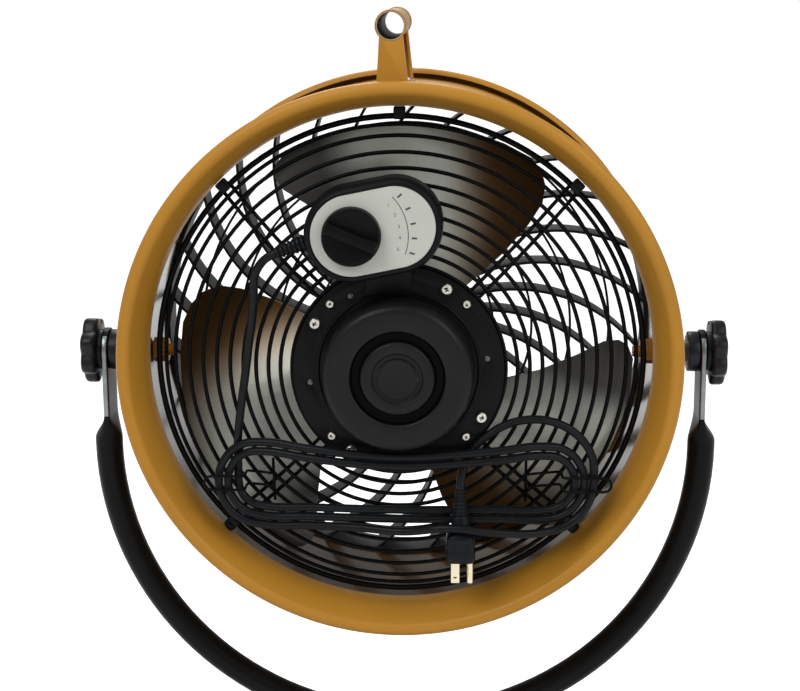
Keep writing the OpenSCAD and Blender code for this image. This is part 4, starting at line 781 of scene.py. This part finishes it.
class DRUMFAN_OT_motor(bpy.types.Operator):
    """Turns the motor's shells and cap and screws them to the plate"""

    bl_idname = "drumfan.motor"
    bl_label = "Motor"

    def execute(self, context):
        eased("motor_plate", "black_enamel", 0.6)
        bm = bmesh.new()
        turned(bm, curl(61.5, 3, 1.3, 180, 0, 8), steps=128)
        piece(bm, "plate_bead", "black_enamel", "motor_plate", replaces=False)
        bm = bmesh.new()
        turned(bm, [(57, 3), *curl(49, 23, 8, 0, 90, 12), (44, 31), (38, 31), (37, 30.8), (36.2, 30.3),
                    (35.7, 29.4), (35.3, 26.6), (34.8, 25.6), (33.8, 25), (30, 25), (29, 25.3), (28.4, 26.2),
                    (28, 28.6), (27.5, 29.9), (26.5, 30.7), (25, 31), (20.6, 31), (19.7, 30.8), (19.2, 30.2),
                    (18.9, 29.3), (18.3, 29), (15.3, 29), (15.3, 27.5), (26, 27.5), (29, 22.5), (36, 22.5),
                    (39, 28.5), (49, 28.5), (54.5, 23), (54.5, 3)], steps=144)
        cover = piece(bm, "motor_cover", "motor_black", "motor_rear_shell", sharp=50)
        # Painted shade: the faces in the well get a near-black that stands in for the shade in it
        second_coat(cover, "well_painted_shade", lambda at, normal: 28 < at.xy.length < 35.5 and 20 < at.z < 28.5)
        bm = bmesh.new()
        turned(bm, [(0, 28.2), (15, 28.2), (15, 30.5), (14.8, 31.1), (14.2, 31.5), (13.2, 31.5), (12.4, 31.3),
                    (6, 31.2), (0, 31.2)], steps=96)
        piece(bm, "bearing_cover", "motor_black", "bearing_cap", sharp=50)
        bm = bmesh.new()
        turned(bm, [(7, -51), (19.4, -51), (20, -50.4), (20.4, -48.6), (22, -48), *curl(50, -41, 7, -90, 0, 8),
                    (57, 0), (54.5, 0), (54.5, -40), (50, -45.5), (20, -45.5), (20, -36.5), (16.1, -36.5),
                    (16.1, -45.5), (7, -45.5)], steps=128)
        piece(bm, "motor_bell", "motor_black", "motor_front_shell", sharp=50)
        self.fixings()
        return {"FINISHED"}

    def fixings(self):
        for name, node, first, turn, head, nut_rings in (
                ("plate_screws", "plate_bolts", 60, 0, screw(4.6, 3, 3, 2.5, -9),
                 [(8.6, -6.3), (9.6, -5.7), (9.6, -3.9), (8.6, -3.3)]),
                ("hairpin_screws", "rib_screws", 45, 27, screw(3.4, 2.4, 3, 2, -10.4),
                 [(7.2, -8.9), (8.2, -8.4), (8.2, -6.9), (7.2, -6.4)])):
            nut = bmesh.new()
            lofted(nut, nut_rings, hexagon)
            places = [spun_at(SCREW_CIRCLE_R, first + 90 * k) @ spun(turn * k) for k in range(4)]
            piece(repeated(nut, places, repeated(head, places)), name, "zinc_plate", node)
        rivet = bmesh.new()
        turned(rivet, [(0, 0), (1.5, 0), (1.5, 3), (2.2, 3), (2.1, 3.4), (1.6, 3.75), (0.8, 3.9), (0, 3.95)],
               steps=24)
        places = [spun_at(RIVET_CIRCLE_R, a) for a in (8, 122, 188)]
        piece(repeated(rivet, places), "plate_rivet_heads", "rivet_grey", "plate_rivets")


class DRUMFAN_OT_blades(bpy.types.Operator):
    """Dresses the three blades, their hub, nut and rivets"""

    bl_idname = "drumfan.blades"
    bl_label = "Blades"

    def execute(self, context):
        for k in range(1, 4):
            eased(f"fan_blade_{k}", f"blade_{k}", 0.35, segments=2, bend=50)
        eased("fan_hub", "machined_steel", 0.5)
        eased("hub_nut", "zinc_plate", 0.7)
        rivet = bmesh.new()
        bmesh.ops.create_uvsphere(rivet, u_segments=16, v_segments=8, radius=2.6)
        crown = math.sqrt(BLADE_CAMBER_R**2 - 7**2) - BLADE_CAMBER_R
        pitch = Matrix.Translation((0, 0, HUB_Z)) @ Matrix.Rotation(math.radians(BLADE_PITCH), 4, "X")
        places = [spun(a) @ pitch @ Matrix.Translation((x, y, crown + lift)) @ Matrix.Diagonal((1, 1, 0.5, 1))
                  for a in BLADE_ANGLES for x in (34, 48) for y in (-7, 7) for lift in (BLADE_SHEET, -2.7)]
        piece(repeated(rivet, places), "blade_rivets", "zinc_plate", "hub_nut", replaces=False)
        return {"FINISHED"}


# Speed control

class DRUMFAN_OT_speed_control(bpy.types.Operator):
    """Moulds the speed control's box, prints its face and sets the dial on it"""

    bl_idname = "drumfan.speed_control"
    bl_label = "Speed Control"

    def execute(self, context):
        in_box = HEAD @ BOX
        bm = bmesh.new()
        lofted(bm, [(0.5, 0), (0, 0.6), (0, 24), (0.35, 27), (1.1, 29.3), (2.1, 30.9), (3.2, 31.7), (4.2, 31.9),
                    (4.9, 31.6), (5.15, 30.9), (5.15, 29.8)], self.rounded, sides=96)
        piece(bm, "control_housing", "moulded_black", "control_box", in_box, 50)
        bm = bmesh.new()
        lofted(bm, [(5.3, 29.9), (5.3, 31.1), (5.6, 31.4)], self.rounded, sides=96)
        piece(bm, "control_plate", "dial_plate", "control_face", in_box)
        eased("control_bracket", "black_enamel", 0.5)
        self.print_scale(context.scene.drum_fan_sizes)
        self.dial(in_box @ Matrix.Translation((-HALF_STRAIGHT, 0, 31.7)))
        return {"FINISHED"}

    def rounded(self, a, inset, z):
        """A point of the housing's long round outline."""
        r, reach = BOX_END_R - inset, HALF_STRAIGHT * max(min(math.cos(a) / 0.02, 1), -1)
        return r * math.cos(a) + reach, r * math.sin(a), z

    def print_scale(self, sizes):
        """Marks, a thin arc and plain numbers printed on the plate."""
        middle = Matrix.Translation((DIAL_X, DIAL_Y, FACE_TOP))
        bm = bmesh.new()
        for a in MARKS:
            block(bm, (44, -0.7, -0.05), (48, 0.7, 0.06), middle @ spun(a))
        turned(bm, [(41.2, -0.05), (41.8, -0.05), (41.8, 0.05), (41.2, 0.05)], middle @ spun(-19), steps=48,
               angle=math.radians(63))
        bmesh.ops.holes_fill(bm, edges=[e for e in bm.edges if e.is_boundary], sides=4)
        for number, a in enumerate(MARKS, 1):
            text = bpy.data.curves.new("number", "FONT")
            text.body, text.size, text.extrude = str(number), sizes.number_height / MM * 1.4, 0.03
            text.align_x, text.align_y = "CENTER", "CENTER"
            sign = bpy.data.objects.new("number", text)
            mesh = bpy.data.meshes.new_from_object(sign)
            upright = Matrix.Translation((0, 0, 0.02)) @ spun(BOX_SLANT - a)
            add_mesh(bm, mesh, middle @ spun_at(35.4, a) @ upright)
            bpy.data.objects.remove(sign)
            bpy.data.meshes.remove(mesh)
            bpy.data.curves.remove(text)
        piece(bm, "control_print", "print_grey", "control_face", replaces=False)

    def dial(self, place):
        """A ribbed skirt with a finger ridge across it."""
        bm = bmesh.new()
        rings = [(21.2, 0, 0), (21.9, 0, 0.5), (21.9, 0.25, 1.2), (21.6, 0.3, 6.2), (21.4, 0, 7.2),
                 (20.8, 0, 7.9), (19.9, 0, 8.2), (19.0, 0, 7.9), (18.2, 0, 7.4)]
        lofted(bm, rings, lambda a, r, rib, z: polar(r - rib * (0.5 + 0.5 * math.cos(40 * a)), a, z),
               sides=240)
        turn = Matrix.Rotation(math.radians(-33.5), 3, "Z")
        lofted(bm, [(20.4, 4.5, 6), (20.3, 4.4, 12), (20.0, 4.0, 13.8), (19.2, 3.2, 14.7), (18.4, 2.4, 15)],
               lambda a, r, half, z: turn @ Vector((
                   r * math.cos(a), max(min(r * math.sin(a), half), -half), z)),
               sides=160)
        turned(bm, [(0, -10), (3, -10), (3, 1), (0, 1)], steps=24)
        piece(bm, "dial_knob", "dial_black", "speed_dial", place, 45)


# Pivots and yoke

def pivot(side):
    """The tilt pivot's place on one side of the head, its z axis outwards."""
    return Matrix.Translation((0, PIVOT_Y, PIVOT_Z)) @ Matrix.Rotation(side * math.pi / 2, 4, "Y")


def lobed(a, r, dip, lobes, z, turn=0.0):
    """A point of a knob's lobed outline."""
    swell = (0.5 + 0.5 * math.cos(lobes * (a - turn))) ** 0.7
    return polar(r - dip * (1 - swell), a, z)


class DRUMFAN_OT_pivots(bpy.types.Operator):
    """Makes the tilt bolts with their nuts, sleeves, bushes and star knobs"""

    bl_idname = "drumfan.pivots"
    bl_label = "Tilt Pivots"

    def execute(self, context):
        bolt = bmesh.new()
        thread = [p for k in range(28) for p in ((4.6, 189.3 + k * 1.25), (5, 189.9 + k * 1.25))]
        turned(bolt, [(0, 188.3), (4.3, 188.3), *thread, (5, 226), (5, 257.2), (4.5, 257.7), (0, 257.7)],
               steps=32)
        self.both(bolt, "tilt_bolts", "yellow_plate", "pivot_bolts")
        nut = bmesh.new()
        lofted(nut, [(16.8, 198.2), (18, 198.9), (18, 205.6), (16.8, 206.2)], hexagon)
        lofted(nut, [(9.6, 0, 194.3), (10.3, 0.9, 194.8), (10.3, 0.9, 197.6), (9.8, 0, 198.3)],
               lambda a, r, tooth, z: lobed(a, r, tooth, 18, z), sides=144)
        self.both(nut, "tilt_nuts", "yellow_plate", "pivot_nuts")
        sleeve = bmesh.new()
        turned(sleeve, [(5.2, 209.4), (8.5, 209.4), (9, 209.9), (9, 232.4), (8.6, 233), (5.2, 233)], steps=48)
        self.both(sleeve, "tilt_sleeves", "zinc_plate", "pivot_spacers", slot="zinc_fixings")
        bush = bmesh.new()
        lofted(bush, [(15.6, 1.5, 232.8), (16.3, 1.7, 233.2), (16.5, 1.8, 234), (16.5, 0, 235.4),
                      (16.5, 0, 240.9), (16.2, 0, 241.6), (15.6, 0, 241.9)], self.notched, sides=96)
        self.both(bush, "tilt_bushes", "knob_black", "pivot_spacers", slot="black_plastic",
                  replaces=False)
        for side, turn, name, node in ((-1, 180, "star_grip_left", "star_knob_left"),
                                       (1, 0, "star_grip_right", "star_knob_right")):
            bm = bmesh.new()
            turned(bm, [(5.2, 0), (15.9, 0), (16.5, 0.6), (16.5, 4.5), (5.2, 4.5)], steps=72)
            rings = ((24.5, 4.2, 3.5), (26.3, 4.3, 3.9), (27.2, 4.3, 4.9), (27.4, 4.3, 7), (27.3, 4.3, 12.4),
                     (26.8, 4.3, 13.9), (25.6, 4.2, 15), (23.8, 4.0, 15.5), (12.6, 0, 15.5), (12.0, 0, 15.2),
                     (11.6, 0, 14.6), (10.9, 0, 14.4))
            lofted(bm, rings, lambda a, r, dip, z: lobed(a, r, dip, 7, z), sides=168)
            turned(bm, [(0, 14), (10.3, 14), (10.3, 14.9), (9.7, 15.3), (0, 15.45)], steps=48)
            place = HEAD @ pivot(side) @ spun(turn) @ Matrix.Translation((0, 0, KNOB_FOOT))
            piece(bm, name, "knob_black", node, place, 40)
        return {"FINISHED"}

    def notched(self, a, r, notch, z):
        """A point of the bush's edge, which has one notch."""
        return polar(r - (notch if abs(math.degrees(a) - 52) < 9 else 0), a, z)

    def both(self, part, name, coat_name, node, **more):
        """One piece from a part on both tilt pivots."""
        piece(repeated(part, [pivot(-1), pivot(1)]), name, coat_name, node, **more)


class DRUMFAN_OT_yoke(bpy.types.Operator):
    """Bends the yoke with its pressed ends and seats it in its socket"""

    bl_idname = "drumfan.yoke"
    bl_label = "Yoke"

    def execute(self, context):
        arm = [(math.sin(a) * BOW_R, BOW_DROP - math.cos(a) * BOW_R, a, TUBE_R, TUBE_R, 1.0)
               for a in (math.radians(90 * k / 32) for k in range(33))]
        for k in range(13):
            t = k / 12
            ease = t * t * (3 - 2 * t)
            arm.append((BOW_R - FLAT_SHIFT * ease, FLAT_FROM + FLAT_EASING * t, math.pi / 2,
                        TUBE_R + (FLAT_HALF_THICK - TUBE_R) * ease, TUBE_R + (FLAT_HALF_WIDE - TUBE_R) * ease,
                        1 + (FLAT_POWER - 1) * ease))
        for y in (-36, -18, 0, 4, 8, 11, 13.5, 15.5, 16.8, 17.6, 17.95):
            arm.append((BOW_R - FLAT_SHIFT, y, math.pi / 2, FLAT_HALF_THICK,
                        math.sqrt(FLAT_HALF_WIDE**2 - max(y, 0) ** 2), FLAT_POWER))
        other = [(-x, y, -a, t, w, p) for x, y, a, t, w, p in arm[:0:-1]]
        bm = bmesh.new()
        lofted(bm, other + arm, self.section, sides=48)
        place = HEAD @ Matrix.Translation((0, PIVOT_Y, PIVOT_Z))
        tube = piece(bm, "yoke_bow", "black_enamel", "yoke_tube", place, 60)
        eased_up_to = PIVOT_Y + FLAT_FROM + FLAT_EASING
        # Painted highlight: the pressed ends' top edge faces get grey metal
        second_coat(tube, "painted_highlight_edge", lambda at, normal: abs(normal.y) > 0.6 and at.y > eased_up_to)
        eased("yoke_socket", "black_enamel", 0.8)
        bm = repeated(screw(6, 4, 672.6, 3, 641.8), [Matrix.Translation((x, 0, 0)) for x in (-20, 20)])
        piece(bm, "saddle_screws", "zinc_plate", "yoke_screws", STAND)
        clamp_grip("swivel_grip", "swivel_knob", 620, 33.3, 19)
        return {"FINISHED"}

    def section(self, a, x, y, lean, thick, wide, power):
        """A point of the yoke's section, its thin way across the bow."""
        out, deep = squarish(a, thick, wide, power)
        return x + out * math.sin(lean), y - out * math.cos(lean), deep


def clamp_grip(name, node, height, face, radius):
    """A clamp knob with five lobes on its stud."""
    bm = bmesh.new()
    rings = ((radius - 2.2, 4.6, 0), (radius - 0.8, 4.8, 0.6), (radius, 4.8, 2.2), (radius, 4.8, 14.6),
             (radius - 0.6, 4.7, 16.4), (radius - 2, 4.5, 17.6), (radius - 4, 4.2, 18), (9, 0, 18),
             (8.4, 0, 17.2), (7.5, 0, 17))
    lofted(bm, rings, lambda a, r, dip, z: lobed(a, r, dip, 5, face + z, math.pi / 2), sides=120)
    turned(bm, [(0, 16.3), (3.6, 16.3), (4, 16.8), (4, face + 1), (0, face + 1)], steps=32)
    turned(bm, [(4.2, face - 0.2), (9, face - 0.2), (9, face + 0.4), (4.2, face + 0.4)], steps=48)
    place = STAND @ Matrix.Translation((0, 0, height)) @ Matrix.Rotation(-math.pi / 2, 4, "X")
    piece(bm, name, "knob_black", node, place, 40)


# Stand

class DRUMFAN_OT_stand(bpy.types.Operator):
    """Makes the base, the poles, their collar and the clamp knob"""

    bl_idname = "drumfan.stand"
    bl_label = "Stand"

    def execute(self, context):
        steps = context.scene.drum_fan_sizes.round_steps
        bm = bmesh.new()
        turned(bm, [(196.6, 0), (199.4, 0), (199.8, 0.8), (201.2, 0.8), (201.6, 0), (204.4, 0), (204.8, 0.8),
                    (206.2, 0.8), (206.6, 0), (211.2, 0), (211.98, 0.8), (211.98, 5.2), (211.2, 6), (196.8, 6),
                    (196, 5.2), (196, 0.6)], steps=steps)
        piece(bm, "foot_rubber_ring", "foot_rubber", "foot_ring", STAND)
        bm, dome_r, dome_middle = bmesh.new(), 880, -832.46
        top = [(r, dome_middle + math.sqrt(dome_r**2 - r * r)) for r in (54, 80, 105, 130, 155, 180, 200, 205)]
        under = [(r, z - 2.5) for r, z in top[-2::-1]]
        turned(bm, [(0, 46), (51.5, 46), *top, *curl(205, 16, 6, 80, 0, 6), (211, 7), (210.6, 6.2),
                    (209.4, 6.2), (208.6, 7), (208.6, 15), (204, 19), *under, (0, 43.5)], steps=steps)
        piece(bm, "base_dome", "black_enamel", "base_shell", STAND, 50)
        eased("base_weight", "cast_weight", 1.0)
        bm = bmesh.new()
        turned(bm, [(19.1, 46.1), (49.6, 46.1), (50, 46.6), (50, 50.2), (49.2, 51), (29, 51), (25.4, 52.2),
                    (23.6, 55), (23, 59), (23, 106.5), (22.4, 108.8), (20.6, 110), (19.1, 110)], steps=96)
        piece(bm, "pole_foot", "black_enamel", "pole_socket", STAND)
        bolt = bmesh.new()
        lofted(bolt, [(9, 51.9), (10, 52.3), (10, 54.4), (9.2, 55)], hexagon)
        turned(bolt, [(0, 32), (3, 32), (3, 51.2), (6.4, 51.2), (6.4, 52), (0, 52)], steps=32)
        bm = repeated(bolt, [spun_at(38, 45 + 90 * k) for k in range(4)])
        piece(bm, "foot_bolts", "zinc_plate", "socket_bolts", STAND)
        pole_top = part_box("inner_pole")[1][2] / MM
        for name, node, r, low, high in (("lower_pole", "outer_pole", 19, 46, 560),
                                         ("upper_pole", "inner_pole", 16, 200, pole_top)):
            bm = bmesh.new()
            turned(bm, [(r - 1.6, low + 0.4), (r - 1.2, low), (r - 0.4, low), (r, low + 0.4), (r, high - 0.5),
                        (r - 0.5, high), (r - 1.2, high), (r - 1.6, high - 0.4)], steps=96)
            piece(bm, name, "pole_black", node, STAND)
        eased("clamp_collar", "black_enamel", 1.0)
        bm = bmesh.new()
        for z in (540.5, 544.5):
            turned(bm, curl(24, z, 0.7, -90, 90, 6), steps=96)
        piece(bm, "collar_beads", "black_enamel", "clamp_collar", STAND, replaces=False)
        clamp_grip("height_grip", "height_knob", 576, 36.3, 22)
        return {"FINISHED"}


# Panel and run

class DRUMFAN_PT_panel(bpy.types.Panel):
    """Lists the fan's makers and settings"""

    bl_label = "Drum Fan"
    bl_idname = "DRUMFAN_PT_panel"
    bl_space_type = "VIEW_3D"
    bl_region_type = "UI"
    bl_category = "Drum Fan"

    def draw(self, context):
        scene, layout = context.scene, self.layout
        for group in (scene.drum_fan_finishes, scene.drum_fan_view, scene.drum_fan_sizes):
            box = layout.box()
            for key in group.bl_rna.properties.keys():
                if key not in ("rna_type", "name"):
                    box.prop(group, key)
        for maker in MAKERS:
            layout.operator(maker.bl_idname)


MAKERS = (DRUMFAN_OT_finishes, DRUMFAN_OT_stage, DRUMFAN_OT_mains_lead, DRUMFAN_OT_drum, DRUMFAN_OT_handle,
          DRUMFAN_OT_rear_guard, DRUMFAN_OT_front_guard, DRUMFAN_OT_motor, DRUMFAN_OT_blades,
          DRUMFAN_OT_speed_control, DRUMFAN_OT_pivots, DRUMFAN_OT_yoke, DRUMFAN_OT_stand)
CLASSES = (DrumFanFinishes, DrumFanView, DrumFanSizes, *MAKERS, DRUMFAN_PT_panel)


def register():
    for cls in CLASSES:
        bpy.utils.register_class(cls)
    bpy.types.Scene.drum_fan_finishes = bpy.props.PointerProperty(type=DrumFanFinishes)
    bpy.types.Scene.drum_fan_view = bpy.props.PointerProperty(type=DrumFanView)
    bpy.types.Scene.drum_fan_sizes = bpy.props.PointerProperty(type=DrumFanSizes)


def unregister():
    del bpy.types.Scene.drum_fan_sizes
    del bpy.types.Scene.drum_fan_view
    del bpy.types.Scene.drum_fan_finishes
    for cls in reversed(CLASSES):
        bpy.utils.unregister_class(cls)


def main():
    """Registers the add-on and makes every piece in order."""
    register()
    bpy.ops.drumfan.finishes()
    bpy.ops.drumfan.stage()
    bpy.ops.drumfan.mains_lead()
    bpy.ops.drumfan.drum()
    bpy.ops.drumfan.handle()
    bpy.ops.drumfan.rear_guard()
    bpy.ops.drumfan.front_guard()
    bpy.ops.drumfan.motor()
    bpy.ops.drumfan.blades()
    bpy.ops.drumfan.speed_control()
    bpy.ops.drumfan.pivots()
    bpy.ops.drumfan.yoke()
    bpy.ops.drumfan.stand()


if __name__ == "__main__":
    main()
